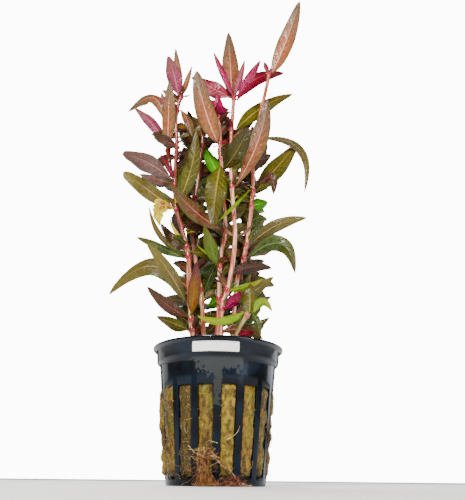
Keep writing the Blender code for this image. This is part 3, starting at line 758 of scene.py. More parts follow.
# %% Stem routes and small leaves
STEMS = {
    "left": ("rust", (
        (-9, -5, 44), (-11, -5, 62), (-12, -5, 71), (-13, -6, 86), (-17, -6, 101),
        (-19, -6, 108), (-20, -6, 121), (-20, -7, 138), (-21, -7, 153), (-19, -7, 165))),
    "left_fork": ("rust", (
        (-21.6, -3.7, 123.5), (-24, -3, 136), (-25, -4, 147), (-26, -4, 158))),
    "mid_left": ("rust", (
        (-5, 2, 44), (-7, 3, 69), (-9, 4, 81), (-11, 4, 92), (-13, 5, 108), (-11, 5, 122),
        (-10, 6, 138), (-9, 6, 152))),
    "centre": ("cream", (
        (-1, -1, 44), (0, -1, 69), (0, -1, 85), (2, -1, 99), (1, -2, 114), (0, -2, 128),
        (-1, -2, 142), (-2, -2, 160))),
    "centre_right": ("cream", (
        (1, -8, 44), (1, -7, 63), (3, -6, 71), (5, -6, 82), (6, -5, 96), (5, -4, 112),
        (4, -4, 128), (4, -3, 146), (5, -2, 168))),
    "right": ("cream", (
        (5, 2, 44), (7, 2, 77), (10, 2, 88), (12, 2, 101), (14, 2, 121), (14, 1, 139),
        (17, 1, 158), (21, 1, 178), (22, 1, 185))),
    "shoot": ("lime", ((5, -12, 44), (7, -12, 53), (11, -13, 60))),
    "back_left": ("umber", (
        (-7, 8, 44), (-10, 9, 75), (-14, 10, 100), (-15, 11, 125), (-13, 12, 148))),
    "back_middle": ("umber", ((0, 9, 44), (1, 11, 85), (-1, 12, 120), (1, 13, 152))),
    "back_right": ("umber", ((8, 8, 44), (9, 10, 80), (12, 12, 110), (15, 13, 138))),
}
SMALL_LEAVES = {
    "left": ((121, -135, 43, 12, 0, 2, 0, "maroon"), (164, 37, 76, 21, 0, 2.5, 0, "salmon"),
             (89, 165, 46, 17, -1, 3.5, 0, "umber"), (118, 158, 26, 20, 0, 5.5, 10, "mauve"),
             (59, 135, 40, 11, 0, 3, 20, "green")),
    "left_fork": ((154, -146, 75, 13, 0, 2.5, 0, "pink"),),
    "mid_left": ((117, 67, 68, 20, 0, 6.5, 0, "umber"), (74, 127, 55, 9, 0, 2.5, 0, "green"),
                 (144, 135, 68, 30, 0, 4.5, 0, "umber")),
    "centre": ((69, 130, -14, 8, 0, 4, 0, "green"), (155, -117, 80, 13, 0, 5, 0, "magenta")),
    "centre_right": ((168, -163, 66, 26, 0, 3, 0, "magenta"), (168, 22, 77, 25, 0, 3, 0, "pink"),
                     (71, -12, 16, 15, -1, 2.5, 30, "lime")),
    "right": ((113, 37, 27, 11, 0, 5.5, 10, "green"), (146, -27, -24, 5, 0, 2.5, 0, "magenta")),
    "shoot": (),
    "back_left": ((146, 24, 48, 15, 0, 5.5, 0, "umber"), (122, 168, 35, 17, 0, 5.5, 20, "umber"),
                  (92, 133, 24, 22, 3, 5.5, 0, "bronze"), (62, 140, 27, 17, 2, 5, 0, "moss"),
                  (147, 127, 50, 23, 1, 5, 0, "rosewood")),
    "back_middle": ((122, 158, 58, 20, 0, 4.5, 0, "green"), (150, 11, 30, 12, 0, 4.5, 0, "umber"),
                    (66, 73, 28, 19, 3, 6, 0, "moss"), (92, 107, 21, 22, 4, 6, 0, "moss"),
                    (118, 73, 30, 24, 3, 6, 0, "olive"), (151, 106, 57, 26, 2, 5.5, 0, "salmon")),
    "back_right": ((107, 38, 19, 12, 0, 5.5, 20, "umber"), (76, 37, 19, 21, 3, 5.5, 0, "bronze"),
                   (112, 63, 31, 23, 3, 6, 0, "bronze"), (137, 51, 60, 25, 1, 5.5, 0, "salmon")),
}
# The faces of small leaves look this way, to the viewer
FACING = np.array((0, -1, -0.1))
# A small leaf starts this far from the middle of its stem
LEAFLET_START = 0.2


def along(route, z):
    """The point of a rising route at the height z."""
    route = np.asarray(route, float)
    return np.array([np.interp(z, route[:, 2], route[:, k]) for k in range(3)])


def leaf_from_row(route, height, heading, rise, length, arch, width, turn):
    """A small leaf's curve, directions across and width, from its row."""
    heading, rise = math.radians(heading), math.radians(rise)
    centre = along(route, height)
    outwards = np.array((math.cos(heading), math.sin(heading), 0))
    up = np.array((0, 0, 1))
    tip = centre + length * (math.cos(rise) * outwards + math.sin(rise) * up)
    start = centre + LEAFLET_START * outwards
    control = (start + tip) / 2 + 2 * arch * (math.cos(rise) * up - math.sin(rise) * outwards)
    across = []
    for share in np.linspace(0, 1, 5):
        ahead = (control - start) * (1 - share) + (tip - control) * share
        ahead /= np.linalg.norm(ahead)
        normal = FACING - ahead * FACING.dot(ahead)
        normal = Vector(normal).normalized()
        normal.rotate(Matrix.Rotation(math.radians(turn), 3, Vector(ahead)))
        across.append(np.cross(ahead, normal))
    return {"start": start, "control": control, "tip": tip, "across": np.array(across),
            "width": width, "root": None}


# %% [markdown]
# ## Building the large leaves
#
# The large leaves come before the stems, because the small ones are then grown in the space
# that is left between them. The slot that the record gives to each leaf names its kind, so the
# finish follows from it, but for two that look like another kind. No two leaves are alike, so
# tables list those that are wider, darker, blunter or more crumpled than the rest, and one leaf is darker as
# painted shade.

# %% Large leaves
BLADE_SEED = 7000
# How many times their own width some blades are drawn, and the tone of brighter and darker ones
WIDER = {"leaf_left_fork_2": 1.3, "leaf_left_5": 1.6, "leaf_right_1": 1.12, "leaf_right_8": 1.1,
         "leaf_right_2": 1.4, "leaf_right_5": 0.75, "leaf_centre_5": 1.25, "leaf_centre_2": 1.25,
         "leaf_shoot_2": 1.25}
# leaf_centre_2's dark tone is painted shade, for the shade that it hangs in
TONES_AND_PAINTED_SHADE = {"leaf_left_2": 0.3, "leaf_left_8": -0.4, "leaf_left_9": 0.7, "leaf_left_11": -0.3,
         "leaf_left_13": -0.2, "leaf_centre_2": -2.8, "leaf_centre_5": -1.9, "leaf_centre_6": 1.6,
         "leaf_centre_7": 0.3, "leaf_centre_right_1": -0.7, "leaf_centre_right_4": 0.2,
         "leaf_centre_right_7": -0.8, "leaf_shoot_2": 0.2, "leaf_right_3": 0.3, "leaf_right_5": -1.2}
LOOKS_LIKE = {"leaf_shoot_2": "olive", "leaf_left_9": "bronze"}
# Leaves with a blunter tip than TIP_CUT gives, and the depth in millimetres of the crumpled ones' dents
BLUNT = {"leaf_left_5": 0.91, "leaf_left_9": 0.86, "leaf_left_10": 0.85, "leaf_centre_4": 0.87,
         "leaf_centre_5": 0.85, "leaf_centre_7": 0.91, "leaf_right_3": 0.82, "leaf_right_6": 0.91}
CRUMPLED = {"leaf_left_8": 2.4, "leaf_left_13": 0.5, "leaf_right_7": 0.8}


def stem_of(leaf_name):
    """leaf_centre_right_3 grows on the stem centre_right."""
    return leaf_name[len("leaf_"):].rsplit("_", 1)[0]


large = []
for number, (name, leaf) in enumerate(leaves.items()):
    spots = smooth_route(STEMS[stem_of(name)][1], 0.5)
    leaf["root"] = spots[np.linalg.norm(spots - leaf["start"], axis=1).argmin()]
    leaf["width"] *= WIDER.get(name, 1.0)
    leaf["crumple"] = CRUMPLED.get(name, 0)
    leaf["cut"] = BLUNT.get(name, TIP_CUT)
    if name in TONES_AND_PAINTED_SHADE:
        leaf["tone"] = TONES_AND_PAINTED_SHADE[name]
    large.append(blade_chunk(leaf, BLADE_SEED + number))
    finish = leaf_finishes[LOOKS_LIKE.get(name, slots[name][len("leaf_"):])]
    hand_over(f"{name}_blade", joined_mesh(f"{name}_blade", large[-1:]), [finish], name)
print(len(large), "large leaves")

# %% [markdown]
# ## Building the stems
#
# Each stem is a tube on a rounded line through its route. It swells at each node, where leaves
# grow, and the knot value on its points tells the finish where to redden. Leaves grow in pairs
# at every node, so the clump is full of smaller ones behind those that show best, painted darker as shade.
# They are too small and too many to be solids. A leaf that would pass through another, or stand
# before a large one, is drawn again, up to TRIES times, and left out where there is no room. Two
# stems also carry a withered flower head, which is a ball of small papery bracts.

# %% Stem tubes
STEM_SPACING = 0.7
STEM_SIDES = 14
STEM_RADIUS = 0.95
STEM_TAPER = 0.12
# How much of its radius a node adds, and how far up and down its swelling reaches
NODE_SWELL = 0.5
NODE_REACH = 1.1
# Heights closer than this are one node
NODE_GAP = 3


def knot_heights(name):
    """Heights of the stem's nodes, where its leaves grow."""
    heights = {round(leaf["root"][2]) for key, leaf in leaves.items() if stem_of(key) == name}
    heights |= {row[0] for row in SMALL_LEAVES[name]}
    apart = []
    for height in sorted(heights):
        if not apart or height - apart[-1] > NODE_GAP:
            apart.append(height)
    return apart


def stem_chunk(name):
    """The stem's tube, swollen and marked round each node."""
    path = smooth_route(STEMS[name][1], STEM_SPACING)
    z = path[:, 2]
    knot = np.zeros(len(path))
    for height in knot_heights(name):
        knot = np.maximum(knot, np.exp(-((z - height) / NODE_REACH) ** 2))
    rise = (z - z[0]) / (z[-1] - z[0])
    radii = STEM_RADIUS * (1 - STEM_TAPER * rise) * (1 + NODE_SWELL * knot)
    spread = np.concatenate([np.repeat(knot, STEM_SIDES), knot[[0, -1]]])
    return tube_chunk(path, radii, STEM_SIDES, knot=spread)


# %% What is taken, and what has to stay in view
# Small leaves stay this far inside the frame's box, and above this height
MARGIN = 0.5
LOWEST = 50
# The part of a leaf that is its stalk
STALK_SHARE = 0.16
FRONT_STEMS = ("left", "mid_left", "centre", "centre_right", "right")


def search_tree(chunks):
    """One search tree of the faces of all these chunks."""
    points, faces = [], []
    for chunk in chunks:
        first = len(points)
        points.extend(Vector(p) for p in chunk["points"])
        faces.extend(tuple(first + i for i in face) for face in chunk["faces"])
    return BVHTree.FromPolygons(points, faces)


def blade_tree(chunk):
    """A search tree of the leaf without its stalk, because the leaves of a node share their root."""
    sheet = len(chunk["points"]) // 2
    faces = [face for face in chunk["faces"] if min(i % sheet for i in face) >= STALK_SHARE * sheet]
    return BVHTree.FromPolygons([Vector(p) for p in chunk["points"]], faces)


def take(chunk):
    """Keeps the chunk's place free of later leaves."""
    points = np.asarray(chunk["points"])
    taken.append((points.min(0), points.max(0), blade_tree(chunk)))


def is_free(chunk):
    """Whether the chunk lies inside the frame's box and passes through no other leaf."""
    low, high = chunk["points"].min(0), chunk["points"].max(0)
    if (low < box_low).any() or (high > box_high).any():
        return False
    near = [other for l, h, other in taken if (low < h).all() and (l < high).all()]
    tree = blade_tree(chunk)
    return not any(tree.overlap(other) for other in near)


def hides(chunk, shown):
    """Whether one of the shown pieces lies behind the chunk, as the viewer sees it."""
    # Every fifth point of the front sheet, past the stalk
    outer = chunk["points"][len(chunk["points"]) // 6:len(chunk["points"]) // 2:5]
    return any(shown.ray_cast(Vector(point), Vector(point - viewer))[0] for point in outer)


box_low, box_high = (np.array(corner) / MM + side * MARGIN for corner, side in zip(cad_box, (1, -1)))
box_low[2] = LOWEST
viewer = np.array(CAMERA_PLACE) / MM
tubes = {name: stem_chunk(name) for name in STEMS}
listed = {}
for number, (name, rows) in enumerate(SMALL_LEAVES.items(), 1):
    listed[name] = [(blade_chunk(leaf_from_row(STEMS[name][1], *row[:-1]), 1000 * number + i), row[-1])
                    for i, row in enumerate(rows)]
taken = []
for chunk in large + [chunk for found in listed.values() for chunk, _ in found]:
    take(chunk)
shown_leaves = search_tree(large)
shown_all = search_tree(large + [tubes[name] for name in FRONT_STEMS])

# %% Young and inner leaves
STEM_SEED = 310
YOUNG_KINDS = {"cream": ("pink", "magenta", "maroon", "rosewood", "green"),
               "rust": ("pink", "magenta", "maroon", "rosewood", "green"),
               "umber": ("rosewood", "umber", "green", "maroon"), "lime": ("lime", "green")}
LOW_KINDS = ("umber", "umber", "moss", "moss", "olive", "bronze", "bronze", "rosewood", "moss")
HIGH_KINDS = ("umber", "umber", "umber", "rosewood", "olive", "maroon", "plum", "bronze", "moss")
HIGH_FROM = 125
TRIES = 30
INNER_FROM = 54
INNER_SPACING = 3
# Highest node with inner leaves, on stems that stand free higher up, and the clump's reach to each side
INNER_TOP = {"left": 142, "left_fork": 0, "centre_right": 150, "right": 138}
CLUMP_X = (-24, 22)
CLUMP_TOP = 164
# Leaves of the photograph that are too small for solids:
# height, heading, rise, length, arch, width, turn and kind
EXTRA = {
    "centre": ((159, 205, 40, 8, 1.5, 3.6, 10, "magenta"), (158, 325, 48, 8, 1.2, 3.2, -20, "magenta"),
               (158, 20, 30, 8, 1.0, 3.0, 10, "magenta"), (157, 255, 25, 7, 1.0, 3.2, 0, "magenta"),
               (157, 300, -5, 7, 1.2, 3.0, 15, "magenta"), (159, 60, 70, 10, 0.5, 3.4, 0, "maroon"),
               (157, 100, 62, 10, 0.5, 3.4, 0, "maroon"), (153, 165, 30, 7, 1.0, 3.0, 20, "maroon"),
               (148, 55, 58, 15, 0.5, 5.0, 0, "maroon"), (146, 20, 42, 12, 1.0, 4.5, 0, "umber"),
               (143, 110, 65, 15, 0.5, 5.0, 0, "rosewood"), (87, 180, 28, 11, -1.2, 1.1, 0, "lime"),
               (87, 0, 30, 5, -0.8, 1.1, 0, "maroon")),
    "shoot": ((51.2, -20, 2, 8, 0.3, 2.6, 0, "maroon"),),
    "centre_right": ((95, 180, 48, 7, -0.9, 1.4, 0, "salmon"), (95, 0, 42, 11, -1.3, 1.4, 0, "rosewood"),
                     (110, 200, 30, 4, 0.5, 0.4, 0, "yellow"), (111, 330, 40, 4, 0.5, 0.4, 0, "yellow"),
                     (74, 180, 5, 6, 0.5, 0.9, 0, "umber"), (74, 160, 50, 9, 0.0, 0.9, 0, "umber")),
    "mid_left": ((151, 165, 40, 15, 2.0, 5.4, 15, "umber"), (151, 118, 52, 17, 1.0, 5.6, 0, "umber"),
                 (148, 62, 38, 15, 1.0, 5.2, 0, "umber"), (150, 215, 28, 11, 1.0, 4.2, -10, "rosewood"),
                 (142, 150, 25, 15, 1.5, 5.0, 10, "umber"), (139, 40, 30, 14, 1.5, 5.0, 0, "umber")),
    "left": ((93, 165, 62, 12, -1.2, 1.1, 0, "yellow"), (92, 185, 48, 9, -1.0, 1.1, 0, "yellow"),
             (108, 165, 45, 12, 0.5, 2.0, 0, "moss"), (141, 172, 22, 13, 1.0, 5.0, 10, "umber"),
             (136, 205, 4, 11, 1.0, 4.6, 0, "umber"), (143, 118, 28, 15, 1.0, 5.2, 0, "umber"),
             (131, 150, 12, 14, 1.5, 5.2, 0, "umber"), (146, 60, 40, 13, 1.0, 4.8, 0, "plum"),
             (160, 150, 55, 14, 0.5, 4.2, 0, "salmon")),
    "back_left": ((148, 60, 62, 20, 1.0, 6.0, 0, "umber"), (148, 200, 50, 15, 1.0, 5.0, 0, "umber")),
    "back_middle": ((56, 215, 20, 12, 1.0, 4.0, 0, "umber"), (60, 250, 35, 12, 1.0, 4.5, 0, "rosewood"),
                    (54, 235, 10, 11, 0.5, 3.5, 0, "bronze"), (64, 230, 45, 13, 1.0, 4.5, 0, "umber"),
                    (152, 60, 55, 15, 1.0, 5.0, 0, "umber"), (152, 170, 45, 14, 1.0, 5.0, 0, "umber")),
    "back_right": ((138, 150, 55, 20, 1.0, 6.0, 0, "umber"), (138, 15, 45, 13, 1.0, 5.0, 0, "umber")),
}
# Withered flower heads: height, and how far to the side and to the front of their stem
FLOWER_HEADS = {"left": ((110, 1.4, -1.7),), "mid_left": ((100.5, -1.2, -1.9),)}
BRACTS = 16


def young_row(height, side, luck, kinds):
    """A tiny leaf in the corner of a node."""
    length = luck.choice((3.0, 4.0, 5.0, 7.0))
    kind = luck.choice(kinds) if height > HIGH_FROM else luck.choice(LOW_KINDS)
    return (height + 0.4, side + luck.uniform(-30, 30), luck.uniform(25, 70), length,
            luck.uniform(-0.4, 0.6), length * luck.uniform(0.26, 0.36), luck.uniform(-25, 25), kind)


def in_clump(tip):
    """Whether a leaf's tip stays within the clump, as the viewer sees it."""
    return CLUMP_X[0] < tip[0] < CLUMP_X[1] and tip[2] < CLUMP_TOP


def inner_row(height, luck):
    """A middle-sized leaf in the shade of the clump."""
    length = luck.uniform(10, 22)
    kind = luck.choice(HIGH_KINDS if height > HIGH_FROM else LOW_KINDS)
    return (height, luck.uniform(0, 360), luck.uniform(-10, 65), length, luck.uniform(0, 3),
            length * luck.uniform(0.25, 0.34), luck.uniform(-30, 30), kind)


def near_row(row, luck):
    """A listed leaf, turned and raised a little if its own place isn't free."""
    return (row[0], row[1] + luck.gauss(0, 8), row[2] + luck.gauss(0, 8), *row[3:])


def flower_head(route, height, side, front, luck):
    """A withered flower head beside its stem: a ball of small papery bracts."""
    beside = np.asarray(route, float) + (side, front, 0)
    bracts = []
    for _ in range(BRACTS):
        leaf = leaf_from_row(beside, height, luck.uniform(0, 360), luck.uniform(-70, 80),
                             luck.uniform(1.6, 2.3), 0.2, 1.2, luck.uniform(-60, 60))
        leaf["tone"] = 1.0
        bracts.append((blade_chunk(leaf, luck.randrange(9999), 8, COLUMNS[::2]),
                       luck.choice(("yellow", "yellow", "lime"))))
    return bracts


def grown(route, draw, painted_shade, shown, rows=14, columns=COLUMNS[::2]):
    """Draws a leaf until one is free and hides nothing shown, darkened by the painted shade. Gives its chunk
    and kind, or None.
    """
    for _ in range(TRIES):
        row = draw()
        leaf = leaf_from_row(route, *row[:-1])
        # Painted shade: the leaf's colour is darkened by this much for the shade of the clump
        leaf["tone"] = -painted_shade
        if shown is shown_all and not in_clump(leaf["tip"]):
            continue
        chunk = blade_chunk(leaf, round(1000 * row[1]), rows, columns)
        if is_free(chunk) and not (shown and hides(chunk, shown)):
            take(chunk)
            return chunk, row[-1]
    return None


# %% Each stem with its small leaves
def small_leaves(name, number):
    """The listed, young and inner leaves of a stem, each as its chunk and kind."""
    kind, route = STEMS[name]
    luck = random.Random(STEM_SEED + number)
    found = list(listed[name])
    for row in EXTRA.get(name, ()):
        found.append(grown(route, lambda: near_row(row, luck), 0.2, None, 30, COLUMNS))
    for head in FLOWER_HEADS.get(name, ()):
        found += flower_head(route, *head, luck)
    for height in knot_heights(name):
        first = luck.uniform(0, 360)
        for side in (first, first + 180):
            row = lambda: young_row(height, side, luck, YOUNG_KINDS[kind])
            found.append(grown(route, row, 0.3, shown_leaves, 9))
    for height in range(INNER_FROM, int(min(INNER_TOP.get(name, 200), route[-1][2] - 4)), INNER_SPACING):
        # Inner leaves are painted darker, as shade, by a random amount
        found.append(grown(route, lambda: inner_row(height, luck), luck.uniform(0.1, 1.5), shown_all))
    return [leaf for leaf in found if leaf]


def build_stem(name, number):
    """The stem's tube and small leaves as one piece."""
    found = small_leaves(name, number)
    kinds = sorted({kind for _, kind in found})
    chunks = [tubes[name]] + [{**chunk, "kind": 1 + kinds.index(kind)} for chunk, kind in found]
    print("stem", name, "carries", len(found), "small leaves")
    finishes = [stem_finishes[STEMS[name][0]]] + [leaf_finishes[kind] for kind in kinds]
    grown_stem = joined_mesh(f"stem_{name}_grown", chunks)
    return hand_over(f"stem_{name}_grown", grown_stem, finishes, f"stem_{name}")


stems = [build_stem(name, number) for number, name in enumerate(STEMS, 1)]
print("stem faces:", sum(len(stem.data.polygons) for stem in stems))

# %% [markdown]
# ## The net pot
#
# The pot is turned from one profile: a flat foot, a tapering body, a shoulder where the collar
# steps out, and a flared lip. Sixteen slots are then cut through the body. The cutters repeat
# round the axis, so Geometry Nodes turn one cutter into a ring of them and take them away with a
# Boolean. A small bevel gives each cut edge the rounding of moulded plastic.

# %% Pot profile
pot_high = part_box("pot")[1]
POT_HEIGHT = pot_high.z / MM
LIP_RADIUS = pot_high.x / MM
COLLAR_TOP_Z = 47.0
COLLAR_TOP_RADIUS = 23.5
SHOULDER_Z = 42.6
COLLAR_RADIUS = 23.2
SHOULDER_STEP = 1.2
BODY_TOP_Z = 41.8
FOOT_RADIUS = 17.8
WALL = 1.0
FLOOR = 1.2
SLOT_COUNT = 16
SLOT_ANGLE = math.radians(15)
SLOT_BOTTOM_Z = 2.6
SLOT_TOP_Z = 32.6
FLOOR_HOLES = 8
FLOOR_HOLE_RADIUS = 2.0
FLOOR_HOLE_CIRCLE = 11.0
POT_STEPS = 160
EDGE_ROUNDING = 0.14


def body_radius(z):
    """Outer radius of the tapering body at the height z."""
    return FOOT_RADIUS + (COLLAR_RADIUS - SHOULDER_STEP - FOOT_RADIUS) * z / BODY_TOP_Z


pot_profile = [
    (0, FLOOR), (body_radius(FLOOR) - WALL - 0.5, FLOOR), (body_radius(FLOOR + 0.5) - WALL, FLOOR + 0.5),
    (body_radius(20) - WALL, 20), (body_radius(41.6) - WALL, 41.6), (21.5, 42.5),
    (COLLAR_RADIUS - WALL, 43.3), (COLLAR_TOP_RADIUS - WALL, 46.6), (COLLAR_TOP_RADIUS - 0.7, 47.8),
    (COLLAR_TOP_RADIUS - 0.4, 48.2), (COLLAR_TOP_RADIUS, POT_HEIGHT), (LIP_RADIUS - 0.35, POT_HEIGHT),
    (LIP_RADIUS - 0.1, POT_HEIGHT - 0.12), (LIP_RADIUS, POT_HEIGHT - 0.4), (LIP_RADIUS - 0.05, 47.75),
    (LIP_RADIUS - 0.3, 47.55), (COLLAR_TOP_RADIUS + 0.25, 47.2), (COLLAR_TOP_RADIUS, 46.8),
    (COLLAR_RADIUS + 0.03, 43.0), (COLLAR_RADIUS - 0.12, 42.55), (22.35, 41.95), (22.05, 41.6),
    (body_radius(40.5), 40.5), (body_radius(36), 36), (body_radius(20), 20), (body_radius(8), 8),
    (body_radius(0.7), 0.7), (FOOT_RADIUS - 0.15, 0.2), (FOOT_RADIUS - 0.5, 0), (0, 0),
]


def turned(profile, steps):
    """A closed mesh of revolution of the profile, which starts and ends on the axis."""
    shape = bmesh.new()
    line = [shape.verts.new(Vector((radius, 0, z)) * MM) for radius, z in profile]
    edges = [shape.edges.new(pair) for pair in zip(line, line[1:])]
    bmesh.ops.spin(shape, geom=line + edges, cent=(0, 0, 0), axis=(0, 0, 1), angle=2 * math.pi,
                   steps=steps, use_merge=True, use_duplicate=False)
    bmesh.ops.remove_doubles(shape, verts=shape.verts, dist=1e-6)
    bmesh.ops.recalc_face_normals(shape, faces=shape.faces)
    return baked(shape, "turned")


def slot_cutter():
    """One slot's wedge at the angle 0, leaning with the wall, as a helper object."""
    shape = bmesh.new()
    for vert in bmesh.ops.create_cube(shape, size=1)["verts"]:
        z = SLOT_BOTTOM_Z + (SLOT_TOP_Z - SLOT_BOTTOM_Z) * (vert.co.z + 0.5)
        reach, side = body_radius(z) + 9 * vert.co.x, SLOT_ANGLE * vert.co.y
        vert.co = Vector(polar(reach, side, z)) * MM
    return placed("slot_cutter", baked(shape, "slot_cutter"))


# %% Cut the slots with Geometry Nodes
def node_group(name, inputs):
    """A geometry tree with a mesh going in and out, and named inputs for its sizes."""
    tree = bpy.data.node_groups.new(name, "GeometryNodeTree")
    tree.interface.new_socket("Geometry", in_out="INPUT", socket_type="NodeSocketGeometry")
    for title, kind in inputs:
        tree.interface.new_socket(title, in_out="INPUT", socket_type=kind)
    tree.interface.new_socket("Geometry", in_out="OUTPUT", socket_type="NodeSocketGeometry")
    return tree, add(tree, "NodeGroupInput"), add(tree, "NodeGroupOutput")


def set_inputs(modifier, values):
    """Sets a Geometry Nodes modifier's inputs by the sockets' identifiers."""
    for item in modifier.node_group.interface.items_tree:
        if item.in_out == "INPUT" and item.name in values:
            modifier[item.identifier] = values[item.name]


def ring_of(tree, count, first, offset, cutter):
    """count copies of the cutter round the axis, the first of them this share of a step on."""
    line = add(tree, "GeometryNodeMeshLine", {"Count": count, "Offset": (0, 0, 0)})
    index = add(tree, "GeometryNodeInputIndex")
    steps = add(tree, "ShaderNodeMath", [index, first], operation="ADD")
    turns = add(tree, "ShaderNodeMath", [steps, count], operation="DIVIDE")
    angle = add(tree, "ShaderNodeMath", [turns, 2 * math.pi], operation="MULTIPLY")
    spin = add(tree, "ShaderNodeCombineXYZ", {2: angle})
    place = add(tree, "ShaderNodeVectorRotate", {"Vector": offset, "Angle": angle}, rotation_type="Z_AXIS")
    spots = add(tree, "GeometryNodeSetPosition", {"Geometry": line, "Position": place})
    return add(tree, "GeometryNodeInstanceOnPoints", {"Points": spots, "Instance": cutter, "Rotation": spin})


def cut_tree():
    """Cuts the ring of slots and the ring of floor holes out of the mesh that goes in."""
    tree, given, out = node_group("slots_and_holes", (
        ("Slots", "NodeSocketInt"), ("Cutter", "NodeSocketObject"), ("Holes", "NodeSocketInt"),
        ("Hole radius", "NodeSocketFloat"), ("Hole circle", "NodeSocketFloat"),
        ("Finish", "NodeSocketMaterial")))
    wedge = add(tree, "GeometryNodeObjectInfo", {"Object": given.outputs["Cutter"]}).outputs["Geometry"]
    drill = add(tree, "GeometryNodeMeshCylinder", {
        "Vertices": 24, "Radius": given.outputs["Hole radius"], "Depth": 6 * MM})
    circle = add(tree, "ShaderNodeCombineXYZ", [given.outputs["Hole circle"]])
    slots_cut = ring_of(tree, given.outputs["Slots"], 0.5, (0, 0, 0), wedge)
    holes_cut = ring_of(tree, given.outputs["Holes"], 0.0, circle, drill)
    both = add(tree, "GeometryNodeJoinGeometry", [slots_cut])
    tree.links.new(holes_cut.outputs[0], both.inputs[0])
    solid = add(tree, "GeometryNodeRealizeInstances", [both])
    cut = add(tree, "GeometryNodeMeshBoolean", [given.outputs["Geometry"], solid],
              operation="DIFFERENCE", solver="EXACT")
    painted = add(tree, "GeometryNodeSetMaterial", {"Geometry": cut, "Material": given.outputs["Finish"]})
    tree.links.new(painted.outputs[0], out.inputs[0])
    return tree


def plain_mesh(holder):
    """The holder's evaluated mesh, as a mesh of its own. The holder is removed."""
    bpy.context.view_layer.update()
    evaluated = holder.evaluated_get(bpy.context.evaluated_depsgraph_get())
    mesh = bpy.data.meshes.new_from_object(evaluated)
    bpy.data.objects.remove(holder, do_unlink=True)
    return mesh


blank = placed("pot_blank", turned(pot_profile, POT_STEPS))
cutter = slot_cutter()
slotted = blank.modifiers.new("Slots", "NODES")
slotted.node_group = cut_tree()
set_inputs(slotted, {"Slots": SLOT_COUNT, "Cutter": cutter, "Holes": FLOOR_HOLES, "Finish": pot_plastic,
                     "Hole radius": FLOOR_HOLE_RADIUS * MM, "Hole circle": FLOOR_HOLE_CIRCLE * MM})
rounded = blank.modifiers.new("Rounded edges", "BEVEL")
rounded.width = EDGE_ROUNDING * MM
rounded.segments = 2
rounded.limit_method = "ANGLE"
rounded.angle_limit = math.radians(50)
pot_mesh = plain_mesh(blank)
bpy.data.objects.remove(cutter, do_unlink=True)
pot_mesh.shade_smooth()
pot_mesh.set_sharp_from_angle(angle=math.radians(40))
pot = hand_over("net_pot", pot_mesh, [pot_plastic], "pot")
print("net pot faces:", len(pot.data.polygons))

# %% [markdown]
# ## The label
#
# A strip of bare white paper is stuck round the front of the collar, just under the lip. It is
# a curved sheet with rounded corners, a little proud of the plastic.

# %% Label
# The angle round the pot's axis of the label's middle
LABEL_MIDDLE = math.radians(-92.2)
LABEL_HALF_ANGLE = math.radians(20.5)
LABEL_STEPS = 40
LABEL_ROWS = 8
PAPER = 0.2
label_low, label_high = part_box("label")


def build_label():
    """The strip as a grid, bent round the collar and cockled by the damp, with rounded corners."""
    shape = bmesh.new()
    bmesh.ops.create_grid(shape, x_segments=LABEL_STEPS, y_segments=LABEL_ROWS, size=1)
    lean = (COLLAR_TOP_RADIUS - COLLAR_RADIUS) / (COLLAR_TOP_Z - SHOULDER_Z)
    bottom, top = label_low.z / MM, label_high.z / MM
    for vert in shape.verts:
        # Only the last 4% towards each end is rounded
        corner = max(0.0, abs(vert.co.x) - 0.96) / 0.04
        share = (vert.co.y * (1 - 0.12 * corner ** 2) + 1) / 2
        z = bottom + (top - bottom) * share
        lift = 0.05 + 0.05 * noise.noise(Vector((vert.co.x * 4, vert.co.y * 2, 0)))
        radius = COLLAR_RADIUS + lean * (z - SHOULDER_Z) + lift
        vert.co = Vector(polar(radius, LABEL_MIDDLE + LABEL_HALF_ANGLE * vert.co.x, z)) * MM
    bmesh.ops.recalc_face_normals(shape, faces=shape.faces)
    for face in shape.faces:
        if face.normal.y > 0:
            face.normal_flip()
    mesh = baked(shape, "label")
    piece = hand_over("paper_label", mesh, [label_paper], "label")
    paper = piece.modifiers.new("Paper", "SOLIDIFY")
    paper.thickness = PAPER * MM
    paper.offset = 1
    mesh.shade_smooth()


build_label()

# %% [markdown]
# ## The rock wool
#
# The soaked plug presses against the ribs and swells out of each slot like a small cushion, more
# in some slots than in others. It is lofted as a fine grid round the axis, with lumps from
# fractal noise, and closed over its top and bottom. Short loose fibres are then scattered over
# it with Geometry Nodes, because a smooth skin alone would look like clay.

# %% Wool plug
WOOL_TOP_Z = 43.6
WOOL_RIM_Z = 43.0
WOOL_STEPS = SLOT_COUNT * 22
# The plug keeps this far inside the wall between the slots
WOOL_GAP = 0.15
WOOL_SEED = 3
wool_luck = random.Random(WOOL_SEED)
slot_swell = [wool_luck.uniform(0.3, 0.9) for _ in range(SLOT_COUNT)]
slot_tone = [wool_luck.uniform(-0.6, 0.6) for _ in range(SLOT_COUNT)]
# The slots in view, from left to right: how far each swells, and how dark or yellow it is
for number, swell, tone in ((8, 2.2, 0.0), (9, 1.9, -0.5), (10, 0.6, -1.0), (11, 0.5, -0.2), (12, 0.6, 1.0),
                            (13, 0.6, 0.1), (14, 0.5, -0.5), (15, 1.3, -0.6)):
    slot_swell[number], slot_tone[number] = swell, tone


